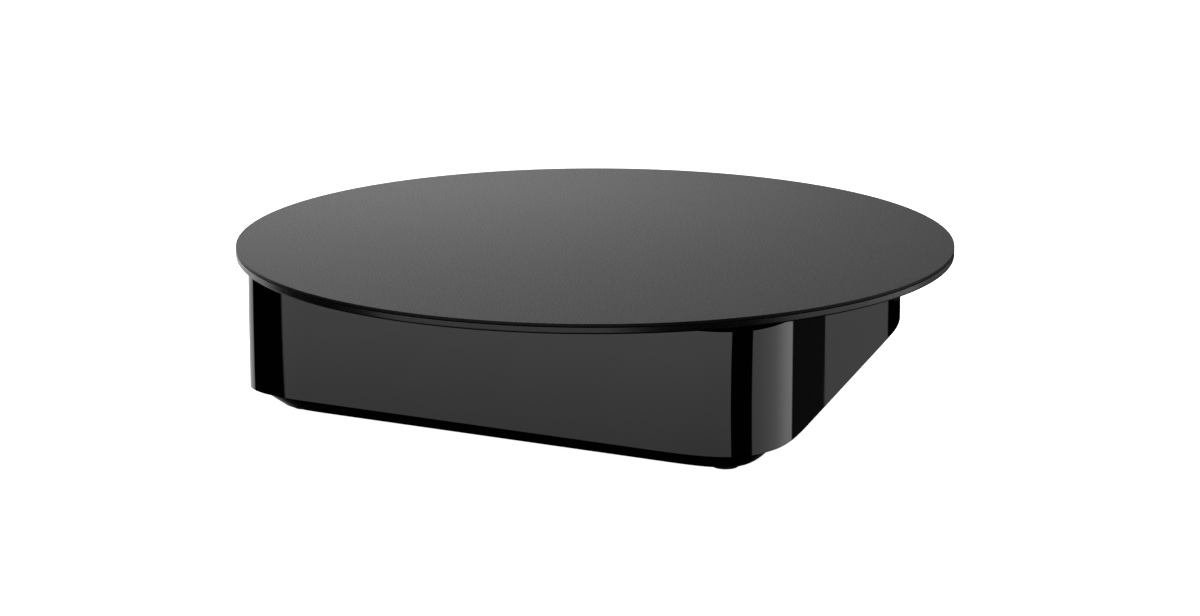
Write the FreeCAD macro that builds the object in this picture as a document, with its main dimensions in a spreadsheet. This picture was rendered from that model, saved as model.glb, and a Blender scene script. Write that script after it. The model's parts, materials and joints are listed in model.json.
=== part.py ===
import FreeCAD, Part
import math
import os

import Sketcher
from FreeCAD import Rotation, Vector
from fcgear import fcgear, involute

# Motorised turntable of a desktop 3D scanner.
# Millimetres. The origin lies on the table plane under the platter's axis,
# +Z is up and the front of the body faces -Y.

SIZES = [
    # overall stack
    ("total_height", 45.0, "table to the top of the platter"),
    ("platter_diameter", 200.0, "both layers of the platter"),
    ("sheet_thickness", 0.75, "grained top sheet"),
    ("sheet_edge", 0.15, "chamfer round the top sheet's rim"),
    ("groove_height", 0.25, "dark line between the sheet and the plate"),
    ("groove_depth", 2.0, "how far the line runs in from the rim"),
    ("plate_thickness", 1.8, "rim of the moulded plate"),
    ("rib_depth", 1.0, "stiffening ribs under the plate"),
    ("rib_thickness", 1.6, "width of each rib"),
    ("rib_count", 12, "radial ribs"),
    ("inner_ring_radius", 32.0, "inner ring rib"),
    ("outer_ring_radius", 92.0, "outer ring rib"),
    ("platter_gap", 1.9, "air between the platter and the housing"),
    # upper housing
    ("housing_width", 162.6, "body across the front"),
    ("housing_front", 66.1, "axis to the front face"),
    ("housing_back", 45.4, "axis to the back face"),
    ("housing_front_corner", 27.3, "reach of the soft front corners"),
    ("front_corner_softness", 0.80, "pull of their curve, 0.55 is round"),
    ("housing_back_corner", 24.0, "reach of the back corners"),
    ("back_corner_softness", 0.60, "pull of their curve"),
    ("housing_wall", 2.2, "wall of the upper housing"),
    ("deck_thickness", 2.2, "top of the upper housing"),
    ("deck_opening", 52.0, "hole for the hub"),
    ("top_edge_round", 0.3, "rounding round the deck"),
    ("edge_height", 6.82, "front lower edge above the table"),
    ("edge_bend_place", 42.1, "axis to where the lower edge turns up"),
    ("edge_bend_radius", 71.0, "sweep of that turn"),
    ("edge_rise_angle", 13.8, "rise of the lower edge to the back"),
    # base pan
    ("foot_height", 1.33, "how far the feet stand out"),
    ("pan_floor", 2.0, "floor of the base pan"),
    ("pan_wall", 3.0, "wall of the base pan"),
    ("pan_width", 149.0, "pan bottom across the front"),
    ("pan_front", 56.75, "axis to the pan's bottom front edge"),
    ("pan_back", 35.0, "axis to the pan's bottom back edge"),
    ("pan_taper", 9.84, "each side turns in to the back, degrees"),
    ("pan_front_corner", 21.8, "reach of the front corners"),
    ("pan_back_corner", 10.0, "reach of the back corners"),
    ("pan_softness", 0.84, "pull of the pan's corner curves"),
    ("pan_corner_growth", 0.6, "reach a corner gains for each millimetre the plan grows"),
    ("pan_flare", 5.6, "how far the bottom chamfer leans out"),
    ("pan_flare_height", 5.01, "height of the bottom chamfer"),
    ("ledge_thickness", 2.0, "ledge that closes the housing from below"),
    ("ledge_clearance", 0.3, "ledge to housing wall"),
    # spindle, bearings and their housing
    ("spindle_diameter", 8.0, "steel spindle"),
    ("spindle_fit", 0.02, "radial fit of the rings on the spindle"),
    ("seat_fit", 0.02, "radial fit of the rings in the housing"),
    ("spindle_bottom", 5.5, "lower end of the spindle above the table"),
    ("spindle_cover", 0.6, "hub metal over the spindle"),
    ("ring_bore", 8.0, "bearing bore"),
    ("ring_outside", 22.0, "bearing outside diameter"),
    ("ring_width", 7.0, "bearing width"),
    ("ring_land", 12.1, "inner ring outside diameter"),
    ("ring_recess", 19.2, "outer ring inside diameter"),
    ("ball_diameter", 3.97, "bearing balls"),
    ("ball_circle", 15.5, "circle of the ball centres"),
    ("ball_count", 7, "balls in each bearing"),
    ("ball_clearance", 0.12, "ball to groove"),
    ("shield_thickness", 0.4, "bearing shields"),
    ("shield_clearance", 0.3, "shield to inner ring"),
    ("post_radius", 14.0, "tube of the bearing housing"),
    ("post_bore", 9.5, "bore between the bearing seats, radius"),
    ("post_flange_radius", 21.0, "flange of the bearing housing"),
    ("post_flange_thickness", 3.0, "same flange"),
    ("post_pad_height", 4.0, "pad under the flange, above the floor"),
    ("post_pad_bore", 10.0, "hollow of that pad, radius"),
    ("post_screw_circle", 17.6, "radius of the flange screws' circle"),
    ("post_screw_length", 6.5, "flange screws"),
    ("seat_lift", 1.0, "lower bearing seat above the flange's face"),
    ("sleeve_radius", 5.4, "spacer between the inner rings"),
    ("clip_radius", 6.2, "clip under the lower bearing"),
    ("clip_thickness", 1.0, "same clip"),
    ("clip_groove", 0.5, "depth of the spindle's clip groove"),
    ("clip_mouth", 6.0, "open side of that clip"),
    # hub and gear train
    ("hub_flange_radius", 23.0, "flange under the platter"),
    ("hub_flange_thickness", 3.2, "same flange"),
    ("hub_body_radius", 18.0, "hub body through the deck"),
    ("hub_body_length", 2.5, "hub body down to the gear seat"),
    ("hub_pilot_radius", 10.0, "pilot through the gear"),
    ("hub_nose_radius", 5.5, "nose on the upper bearing's inner ring"),
    ("hub_nose_length", 2.07, "same nose, below the gear"),
    ("hub_tap_depth", 3.9, "tapped holes for the gear screws"),
    ("gear_module", 0.8, "main gear and small idler gear"),
    ("fine_module", 0.5, "large idler gear and pinion"),
    ("main_teeth", 90, "main gear"),
    ("idler_small_teeth", 18, "small step of the idler"),
    ("idler_large_teeth", 54, "large step of the idler"),
    ("pinion_teeth", 18, "motor pinion"),
    ("tooth_shift", -0.09, "profile shift, gives backlash"),
    ("pressure_angle", 20.0, "all gear teeth"),
    ("main_gear_thickness", 3.6, "main gear"),
    ("gear_window_radius", 6.0, "round windows in the main gear"),
    ("gear_window_circle", 25.5, "radius of the windows' circle"),
    ("gear_window_count", 6, "windows"),
    ("gear_screw_circle", 14.0, "radius of the gear screws' circle"),
    ("gear_bore_clearance", 0.05, "main gear on the hub's pilot"),
    ("hub_screw_circle", 19.0, "radius of the platter screws' circle"),
    ("platter_screw_length", 4.4, "platter screws"),
    ("gear_screw_length", 4.0, "gear screws"),
    ("drive_angle", 200.0, "direction of the idler from the axis"),
    ("motor_angle", 285.0, "direction of the motor from the idler"),
    ("axle_diameter", 4.0, "steel axle of the idler"),
    ("axle_fit", 0.05, "radial play of the idler"),
    ("washer_thickness", 0.5, "washer under the idler"),
    ("large_step_thickness", 3.0, "large step of the idler"),
    ("small_step_rise", 0.1, "small step of the idler above the main gear"),
    ("axle_clip_thickness", 0.6, "clip over the idler"),
    ("axle_groove", 0.4, "depth of the axle's clip groove"),
    ("axle_clip_mouth", 3.0, "open side of that clip"),
    ("axle_tip", 0.5, "axle above the clip"),
    # chassis plate and its posts
    ("gear_room", 10.1, "chassis plate to the deck above it"),
    ("chassis_thickness", 2.0, "steel sheet"),
    ("chassis_left", 61.2, "axis to the plate's left edge"),
    ("chassis_right", 28.0, "axis to the plate's right edge"),
    ("chassis_front", 56.0, "axis to the plate's front edge"),
    ("chassis_back", 23.0, "axis to the plate's back edge"),
    ("chassis_corner", 5.0, "corner radius of the plate"),
    ("chassis_hole_clearance", 0.2, "plate round the bearing housing"),
    ("left_front_side", 57.2, "axis to the left front post, in X"),
    ("left_front_post", 48.0, "axis to the left front post, in Y"),
    ("left_back_side", 55.2, "axis to the left back post, in X"),
    ("left_back_post", 18.0, "axis to the left back post, in Y"),
    ("right_post_side", 22.0, "axis to the right posts, in X"),
    ("right_front_post", 50.0, "axis to the right front post, in Y"),
    ("right_back_post", 19.5, "axis to the right back post, in Y"),
    ("stand_radius", 3.5, "moulded posts"),
    ("chassis_screw_length", 10.0, "screws of the chassis plate"),
    # motor
    ("motor_side", 35.2, "square of the motor"),
    ("motor_corner", 4.0, "cut corners of the motor"),
    ("motor_cap_thickness", 5.0, "each end cap"),
    ("motor_floor_gap", 3.27, "air between the pan's floor and the motor"),
    ("motor_pilot_radius", 11.0, "round pilot in the chassis plate"),
    ("motor_pilot_height", 1.8, "same pilot"),
    ("motor_pilot_clearance", 0.1, "plate round the pilot"),
    ("motor_screw_pitch", 26.0, "square of the motor screws"),
    ("motor_screw_length", 6.0, "motor screws"),
    ("motor_shaft_diameter", 5.0, "motor shaft"),
    ("rotor_radius", 9.5, "magnet rotor"),
    ("rotor_gap", 0.5, "rotor to stack and caps"),
    ("motor_ring_radius", 6.5, "motor bearings"),
    ("motor_ring_width", 3.0, "motor bearings"),
    ("shaft_relief", 1.0, "hollow under the shaft's lower end"),
    ("shaft_tip", 0.5, "shaft above the pinion's collar"),
    ("pinion_gap", 0.6, "pinion above the pilot"),
    ("pinion_thickness", 3.6, "motor pinion"),
    ("pinion_collar_radius", 3.9, "collar of the pinion"),
    ("pinion_collar_height", 1.6, "same collar"),
    ("socket_depth", 4.0, "motor's lead socket out from its side"),
    # control board and its sockets
    ("board_left", 26.3, "axis to the board's left edge"),
    ("board_width", 24.0, "board across"),
    ("board_front", 26.0, "axis to the board's front edge"),
    ("board_length", 60.0, "board front to back"),
    ("board_thickness", 1.6, "board"),
    ("board_post_height", 5.0, "posts above the floor"),
    ("board_post_radius", 2.5, "posts under the board"),
    ("board_hole_inset", 3.0, "screws from the board's edges"),
    ("board_rear_screws", 16.0, "rear screws from the board's back edge"),
    ("board_screw_length", 5.1, "board screws"),
    ("driver_chip_side", 7.0, "motor driver"),
    ("driver_chip_place", 18.0, "driver from the board's front edge"),
    ("logic_chip_side", 9.0, "controller"),
    ("logic_chip_place", 32.0, "controller from the board's front edge"),
    ("chip_height", 1.1, "both chips"),
    ("can_radius", 3.0, "capacitors"),
    ("can_height", 7.0, "capacitors"),
    ("can_spread", 14.0, "between the capacitors"),
    ("can_place", 12.5, "capacitors from the board's front edge"),
    ("port_clearance", 0.3, "wall round each socket"),
    ("port_inset", 1.2, "sockets from the board's side edges"),
    ("port_depth", 9.0, "how deep a plug goes into either socket"),
    ("usb_width", 12.0, "data socket"),
    ("usb_height", 10.8, "data socket"),
    ("usb_length", 16.0, "data socket"),
    ("usb_wall", 1.5, "shell round the data socket's mouth"),
    ("usb_tongue_width", 5.6, "tongue in the mouth"),
    ("usb_tongue_height", 3.0, "same tongue"),
    ("contact_inset", 0.8, "tongue and pin inside the sockets' faces"),
    ("jack_width", 9.0, "power socket"),
    ("jack_height", 11.0, "power socket"),
    ("jack_length", 14.0, "power socket"),
    ("jack_hole_radius", 3.2, "power socket's round hole"),
    ("jack_pin_radius", 1.0, "power socket's centre pin"),
    ("header_width", 10.0, "header for the motor lead"),
    ("header_length", 6.0, "same header"),
    ("header_height", 3.6, "same header"),
    # motor lead
    ("lead_diameter", 2.4, "sleeved four-wire lead"),
    ("lead_first_run", 16.0, "straight out of the motor's socket"),
    ("lead_turn_reach", 34.0, "socket to the lead's second turn, in X"),
    ("lead_turn_offset", 8.8, "that turn in front of the socket"),
    ("lead_last_run", 17.0, "straight into the board's header"),
    # feet and housing bosses
    ("front_foot_side", 65.3, "axis to the front feet, in X"),
    ("front_foot_place", 49.0, "axis to the front feet, in Y"),
    ("back_foot_side", 55.0, "axis to the back feet, in X"),
    ("back_foot_place", 27.0, "axis to the back feet, in Y"),
    ("foot_radius", 3.9, "rubber feet"),
    ("foot_edge", 0.9, "chamfer at the bottom of each foot"),
    ("foot_plug_height", 3.0, "plug of each foot in its screw well"),
    ("foot_plug_clearance", 0.1, "plug in the well, radial"),
    ("well_radius", 2.9, "screw well in each boss of the pan"),
    ("well_roof", 2.5, "boss material over the well"),
    ("pan_boss_radius", 4.2, "bosses of the pan"),
    ("pan_boss_top", 12.0, "top of the pan's bosses above the table"),
    ("housing_boss_radius", 3.5, "bosses of the upper housing"),
    ("housing_screw_length", 12.0, "screws of the upper housing"),
    # screws
    ("screw_radius", 1.45, "shank of the larger screws"),
    ("screw_head_radius", 2.6, "head of the larger screws"),
    ("screw_head_height", 2.0, "same heads"),
    ("small_screw_radius", 1.0, "shank of the board screws"),
    ("small_head_radius", 1.9, "head of the board screws"),
    ("small_head_height", 1.3, "same heads"),
    ("screw_clearance", 0.05, "radial room round a shank"),
    ("head_clearance", 0.15, "radial room round a sunk head"),
    ("socket_share", 0.55, "drive recess across the head"),
    ("recess_depth", 1.0, "drive recess in a head"),
]

doc = FreeCAD.newDocument("scan_turntable")
sheet = doc.addObject("Spreadsheet::Sheet", "sizes")
for row, (alias, value, meaning) in enumerate(SIZES, start=1):
    sheet.set(f"A{row}", str(value))
    sheet.setAlias(f"A{row}", alias)
    sheet.set(f"B{row}", meaning)
doc.recompute()


def number(expression):
    """Value of an expression over the sheet, as a plain number."""
    result = sheet.evalExpression(expression)
    return float(getattr(result, "Value", result))


def place(solid, x="0", y="0", z="0"):
    """Bind an object's position to expressions over the sheet."""
    for axis, expression in zip("xyz", (x, y, z)):
        solid.setExpression(f".Placement.Base.{axis}", expression)
    return solid


def disc(name, radius, height, x="0", y="0", z="0"):
    solid = doc.addObject("Part::Cylinder", name)
    solid.setExpression("Radius", radius)
    solid.setExpression("Height", height)
    return place(solid, x, y, z)


def cone(name, bottom, top, height, x="0", y="0", z="0"):
    solid = doc.addObject("Part::Cone", name)
    solid.setExpression("Radius1", bottom)
    solid.setExpression("Radius2", top)
    solid.setExpression("Height", height)
    return place(solid, x, y, z)


def block(name, length, width, height, x="0", y="0", z="0"):
    """Box centred on x and y, standing on z."""
    solid = doc.addObject("Part::Box", name)
    solid.setExpression("Length", length)
    solid.setExpression("Width", width)
    solid.setExpression("Height", height)
    return place(solid, f"{x} - ({length}) / 2", f"{y} - ({width}) / 2", z)


def fuse(name, pieces):
    solid = doc.addObject("Part::MultiFuse", name)
    solid.Shapes = pieces
    return solid


def common(name, pieces):
    solid = doc.addObject("Part::MultiCommon", name)
    solid.Shapes = pieces
    return solid


def cut(name, base, tools):
    """Base less one tool, or less the union of several."""
    solid = doc.addObject("Part::Cut", name)
    solid.Base = base
    solid.Tool = tools[0] if len(tools) == 1 else fuse(name + "_tools", tools)
    return solid


def group(name, solids):
    """Several separate solids that share one node."""
    compound = doc.addObject("Part::Compound", name)
    compound.Links = solids
    return compound


def tube(name, outer, inner, height, x="0", y="0", z="0"):
    wall = disc(name + "_outside", outer, height, x, y, z)
    bore = disc(name + "_bore", inner, height, x, y, z)
    return cut(name, wall, [bore])


def feature(name, shape, z="0"):
    """Outline or surface made with Part's own functions."""
    wire = doc.addObject("Part::Feature", name)
    wire.Shape = shape
    return place(wire, z=z)


def raised(name, outline, height):
    """Closed outline pulled straight up into a solid."""
    solid = doc.addObject("Part::Extrusion", name)
    solid.Base = outline
    solid.DirMode = "Custom"
    solid.Dir = Vector(0, 0, 1)
    solid.Solid = True
    solid.setExpression("LengthFwd", height)
    return solid


SUBPARTS = []


def node(label, solid):
    """Mark an object as one sub-part of the assembly."""
    solid.Label = label
    SUBPARTS.append(solid)
    return solid


# Levels above the table. The platter, gears and chassis plate hang from the top;
# the pan, board, lower bearing and motor's rear cap stand on the feet.
sheet_base = "(sizes.total_height - sizes.sheet_thickness)"
rim_top = f"({sheet_base} - sizes.groove_height)"
plate_base = f"({rim_top} - sizes.plate_thickness)"
deck_top = f"({plate_base} - sizes.platter_gap)"
deck_base = f"({deck_top} - sizes.deck_thickness)"
hub_flange_base = f"({plate_base} - sizes.hub_flange_thickness)"
gear_top = f"({hub_flange_base} - sizes.hub_body_length)"
gear_base = f"({gear_top} - sizes.main_gear_thickness)"
pan_base = "sizes.foot_height"
floor_top = f"({pan_base} + sizes.pan_floor)"
floor_middle = f"({pan_base} + sizes.pan_floor / 2)"
flare_top = f"({pan_base} + sizes.pan_flare_height)"
post_base = f"({floor_top} + sizes.post_pad_height)"
flange_top = f"({post_base} + sizes.post_flange_thickness)"
lower_ring_base = f"({post_base} + sizes.seat_lift)"
upper_ring_top = f"({gear_base} - sizes.hub_nose_length)"
upper_ring_base = f"({upper_ring_top} - sizes.ring_width)"
spindle_top = f"({plate_base} - sizes.spindle_cover)"
chassis_top = f"({deck_base} - sizes.gear_room)"
chassis_base = f"({chassis_top} - sizes.chassis_thickness)"
washer_top = f"({chassis_top} + sizes.washer_thickness)"
small_step_base = f"({washer_top} + sizes.large_step_thickness)"
idler_top = f"({gear_top} + sizes.small_step_rise)"
axle_clip_top = f"({idler_top} + sizes.axle_clip_thickness)"
pilot_top = f"({chassis_base} + sizes.motor_pilot_height)"
pinion_base = f"({pilot_top} + sizes.pinion_gap)"
pinion_top = f"({pinion_base} + sizes.pinion_thickness)"
shaft_top = f"({pinion_top} + sizes.pinion_collar_height + sizes.shaft_tip)"
front_cap_base = f"({chassis_base} - sizes.motor_cap_thickness)"
rear_cap_base = f"({floor_top} + sizes.motor_floor_gap)"
stack_base = f"({rear_cap_base} + sizes.motor_cap_thickness)"
stack_length = f"({front_cap_base} - {stack_base})"
board_base = f"({floor_top} + sizes.board_post_height)"
board_top = f"({board_base} + sizes.board_thickness)"
lead_level = f"({board_top} + sizes.header_height / 2)"

# Places in plan.
idler_distance = "(sizes.gear_module * (sizes.main_teeth + sizes.idler_small_teeth) / 2)"
motor_distance = "(sizes.fine_module * (sizes.idler_large_teeth + sizes.pinion_teeth) / 2)"
idler_x = f"({idler_distance} * cos(sizes.drive_angle))"
idler_y = f"({idler_distance} * sin(sizes.drive_angle))"
motor_x = f"({idler_x} + {motor_distance} * cos(sizes.motor_angle))"
motor_y = f"({idler_y} + {motor_distance} * sin(sizes.motor_angle))"
pan_back_wall = "(sizes.pan_back + sizes.pan_flare)"
board_x = "(sizes.board_left + sizes.board_width / 2)"
board_y = "(sizes.board_length / 2 - sizes.board_front)"
board_back = "(sizes.board_length - sizes.board_front)"

CHASSIS_POSTS = {
    "left_front": ("-sizes.left_front_side", "-sizes.left_front_post"),
    "left_back": ("-sizes.left_back_side", "sizes.left_back_post"),
    "right_front": ("sizes.right_post_side", "-sizes.right_front_post"),
    "right_back": ("sizes.right_post_side", "sizes.right_back_post"),
}
FEET = {
    "front_left_foot": ("-sizes.front_foot_side", "-sizes.front_foot_place"),
    "front_right_foot": ("sizes.front_foot_side", "-sizes.front_foot_place"),
    "back_left_foot": ("-sizes.back_foot_side", "sizes.back_foot_place"),
    "back_right_foot": ("sizes.back_foot_side", "sizes.back_foot_place"),
}
BOARD_SCREWS = [
    (
        f"({board_x} + {side} * (sizes.board_width / 2 - sizes.board_hole_inset))",
        y,
    )
    for side in (-1, 1)
    for y in (
        "(sizes.board_hole_inset - sizes.board_front)",
        f"({board_back} - sizes.board_rear_screws)",
    )
]


def on_circle(radius, count, start=0):
    """Expressions for places spread evenly round the platter's axis."""
    return [
        (
            f"({radius} * cos({start + index * 360 / count}))",
            f"({radius} * sin({start + index * 360 / count}))",
        )
        for index in range(count)
    ]


MOTOR_SCREWS = [
    (
        f"({motor_x} + {side_x} * sizes.motor_screw_pitch / 2)",
        f"({motor_y} + {side_y} * sizes.motor_screw_pitch / 2)",
    )
    for side_x in (-1, 1)
    for side_y in (-1, 1)
]
POST_SCREWS = on_circle("sizes.post_screw_circle", 4, start=45)
GEAR_SCREWS = on_circle("sizes.gear_screw_circle", 4)
PLATTER_SCREWS = on_circle("sizes.hub_screw_circle", 4, start=45)


def soft_corner(before, corner, after, softness):
    """Corner whose curvature fades in and out, as one cubic curve."""
    curve = Part.BezierCurve()
    curve.setPoles(
        [
            before,
            before + (corner - before) * softness,
            after + (corner - after) * softness,
            after,
        ]
    )
    return curve.toShape()


def soft_outline(width, front, back, taper, corners, softness):
    """Closed plan outline: straight sides joined by soft corners.

    corners and softness each hold the front value, then the back value.
    """
    half = width / 2
    lean = math.tan(math.radians(taper))
    back_half = half - (front + back) * lean
    points = [
        Vector(-half, -front),
        Vector(half, -front),
        Vector(back_half, back),
        Vector(-back_half, back),
    ]
    reaches = [corners[0], corners[0], corners[1], corners[1]]
    starts = []
    ends = []
    for index, corner in enumerate(points):
        towards_last = (points[index - 1] - corner).normalize()
        towards_next = (points[(index + 1) % 4] - corner).normalize()
        starts.append(corner + towards_last * reaches[index])
        ends.append(corner + towards_next * reaches[index])
    edges = []
    for index, corner in enumerate(points):
        edges.append(soft_corner(starts[index], corner, ends[index], softness[index // 2]))
        edges.append(Part.LineSegment(ends[index], starts[(index + 1) % 4]).toShape())
    return Part.Wire(edges)


def housing_outline(name, inset, z="0"):
    """The upper housing's plan, or the same line further in."""
    size = number
    wire = soft_outline(
        size("sizes.housing_width") - 2 * inset,
        size("sizes.housing_front") - inset,
        size("sizes.housing_back") - inset,
        0,
        (
            size("sizes.housing_front_corner") - inset,
            size("sizes.housing_back_corner") - inset,
        ),
        (size("sizes.front_corner_softness"), size("sizes.back_corner_softness")),
    )
    return feature(name, wire, z)


def pan_outline(name, grow, z):
    """The base pan's plan, grown or shrunk from its bottom edge."""
    size = number
    gain = size("sizes.pan_corner_growth") * grow
    softness = size("sizes.pan_softness")
    wire = soft_outline(
        size("sizes.pan_width") + 2 * grow,
        size("sizes.pan_front") + grow,
        size("sizes.pan_back") + grow,
        size("sizes.pan_taper"),
        (
            size("sizes.pan_front_corner") + gain,
            size("sizes.pan_back_corner") + gain,
        ),
        (softness, softness),
    )
    return feature(name, wire, z)


def under_edge(name, lift):
    """Everything below the housing's lower edge, with the edge raised by lift."""
    reach = number("sizes.platter_diameter")
    level = number("sizes.edge_height") + lift
    angle = math.radians(number("sizes.edge_rise_angle"))
    radius = number("sizes.edge_bend_radius")
    bend = -number("sizes.edge_bend_place")
    tangent = radius * math.tan(angle / 2)
    start = Vector(0, bend - tangent, level)
    middle = start + Vector(0, radius * math.sin(angle / 2), radius * (1 - math.cos(angle / 2)))
    end = start + Vector(0, radius * math.sin(angle), radius * (1 - math.cos(angle)))
    far = end + Vector(0, math.cos(angle), math.sin(angle)) * reach
    front = Vector(0, -reach, level)
    edges = [
        Part.LineSegment(front, start).toShape(),
        Part.Arc(start, middle, end).toShape(),
        Part.LineSegment(end, far).toShape(),
        Part.LineSegment(far, Vector(0, far.y, -reach)).toShape(),
        Part.LineSegment(Vector(0, far.y, -reach), Vector(0, -reach, -reach)).toShape(),
        Part.LineSegment(Vector(0, -reach, -reach), front).toShape(),
    ]
    outline = feature(name + "_outline", Part.Wire(edges))
    solid = doc.addObject("Part::Extrusion", name)
    solid.Base = outline
    solid.DirMode = "Custom"
    solid.Dir = Vector(1, 0, 0)
    solid.Solid = True
    solid.Symmetric = True
    solid.setExpression("LengthFwd", "2 * sizes.platter_diameter")
    return solid


def lofted(name, lower, upper):
    solid = doc.addObject("Part::Loft", name)
    solid.Sections = [lower, upper]
    solid.Solid = True
    solid.Ruled = True
    return solid


def screw(name, x, y, seat, length, head="pan", small=False, upside_down=False):
    """One screw whose head rests at the seat level and whose shank runs away from it."""
    kind = "small_" if small else ""
    shank = f"sizes.{'small_screw' if small else 'screw'}_radius"
    head_radius = f"sizes.{'small' if small else 'screw'}_head_radius"
    head_height = f"sizes.{'small' if small else 'screw'}_head_height"
    recess = doc.addObject("Part::Prism", name + "_recess")
    recess.Polygon = 6
    recess.setExpression("Circumradius", f"{head_radius} * sizes.socket_share")
    recess.setExpression("Height", "sizes.recess_depth")
    if head == "pan":
        top = head_height
        cap = disc(name + "_head", head_radius, head_height)
    else:
        top = "0"
        cap = cone(name + "_head", shank, head_radius, f"{head_radius} - {shank}")
        place(cap, z=f"-({head_radius} - {shank})")
    place(recess, z=f"{top} - sizes.recess_depth")
    stem = disc(name + "_shank", shank, length, z=f"-({length})")
    solid = cut(name, fuse(name + "_blank", [cap, stem]), [recess])
    if upside_down:
        solid.Placement.Rotation = Rotation(Vector(1, 0, 0), 180)
    return place(solid, x, y, seat)


def screws(label, places, seat, length, **options):
    solids = [
        screw(f"{label}_{index}", x, y, seat, length, **options)
        for index, (x, y) in enumerate(places, start=1)
    ]
    return node(label, group(label + "_set", solids))


def shank_holes(name, places, z, height, small=False):
    """Clearance holes for screw shanks, one at each place."""
    radius = "sizes.small_screw_radius" if small else "sizes.screw_radius"
    return [
        disc(f"{name}_{index}", f"{radius} + sizes.screw_clearance", height, x, y, z)
        for index, (x, y) in enumerate(places, start=1)
    ]


def sunk_heads(name, places, top):
    """Countersinks for flat screw heads that end level with a surface."""
    reach = "(sizes.screw_head_radius - sizes.screw_radius)"
    return [
        cone(
            f"{name}_{index}",
            "sizes.screw_radius + sizes.screw_clearance",
            "sizes.screw_head_radius + sizes.screw_clearance",
            reach,
            x,
            y,
            f"{top} - {reach}",
        )
        for index, (x, y) in enumerate(places, start=1)
    ]


def toothed(name, teeth, module, thickness, x, y, z, turn):
    """Spur gear blank with involute teeth; a tooth points along the turn angle."""
    builder = fcgear.FCWireBuilder()
    involute.CreateExternalGear(
        builder,
        number(module),
        int(number(teeth)),
        number("sizes.pressure_angle"),
        True,
        shiftCoeff=number("sizes.tooth_shift"),
    )
    outline = feature(name + "_outline", Part.Wire([curve.toShape() for curve in builder.wire]))
    outline.Placement.Rotation = Rotation(Vector(0, 0, 1), turn)
    place(outline, x, y, z)
    return raised(name, outline, thickness)


# Platter


def make_top_sheet():
    blank = disc("sheet_blank", "sizes.platter_diameter / 2", "sizes.sheet_thickness", z=sheet_base)
    doc.recompute()
    chamfered = doc.addObject("Part::Chamfer", "top_sheet_edge")
    chamfered.Base = blank
    width = number("sizes.sheet_edge")
    chamfered.Edges = [
        (index, width, width)
        for index, edge in enumerate(blank.Shape.Edges, start=1)
        if edge.BoundBox.ZMin > number("sizes.total_height") - width
    ]
    node("platter_top_sheet", chamfered)


def origin_feature(body, role):
    return next(item for item in body.Origin.OriginFeatures if item.Role == role)


def flat_sketch(body, name, z):
    sketch = body.newObject("Sketcher::SketchObject", name)
    sketch.AttachmentSupport = [(origin_feature(body, "XY_Plane"), "")]
    sketch.MapMode = "FlatFace"
    sketch.setExpression(".AttachmentOffset.Base.z", z)
    return sketch


def sketch_circle(sketch, radius):
    """Circle round the sketch's origin with its radius bound to the sheet."""
    circle = Part.Circle(Vector(0, 0, 0), Vector(0, 0, 1), number(radius))
    index = sketch.addGeometry(circle, False)
    sketch.addConstraint(Sketcher.Constraint("Coincident", index, 3, -1, 1))
    rule = sketch.addConstraint(Sketcher.Constraint("Radius", index, number(radius)))
    sketch.setExpression(f"Constraints[{rule}]", radius)


def sketch_rectangle(sketch, left, right, bottom, top):
    """Rectangle by its four edges' distances from the sketch's origin."""
    x0, x1, y0, y1 = (number(edge) for edge in (left, right, bottom, top))
    corners = [Vector(x0, y0), Vector(x1, y0), Vector(x1, y1), Vector(x0, y1)]
    for index in range(4):
        sketch.addGeometry(Part.LineSegment(corners[index], corners[(index + 1) % 4]), False)
    for index in range(4):
        sketch.addConstraint(Sketcher.Constraint("Coincident", index, 2, (index + 1) % 4, 1))
    for index in (0, 2):
        sketch.addConstraint(Sketcher.Constraint("Horizontal", index))
    for index in (1, 3):
        sketch.addConstraint(Sketcher.Constraint("Vertical", index))
    for kind, corner, expression, value in (
        ("DistanceX", 0, left, x0),
        ("DistanceY", 0, bottom, y0),
        ("DistanceX", 2, right, x1),
        ("DistanceY", 2, top, y1),
    ):
        rule = sketch.addConstraint(Sketcher.Constraint(kind, -1, 1, corner, 1, value))
        sketch.setExpression(f"Constraints[{rule}]", expression)


def padded(body, name, sketch, length):
    pad = body.newObject("PartDesign::Pad", name)
    pad.Profile = sketch
    pad.setExpression("Length", length)
    sketch.Visibility = False
    return pad


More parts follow.
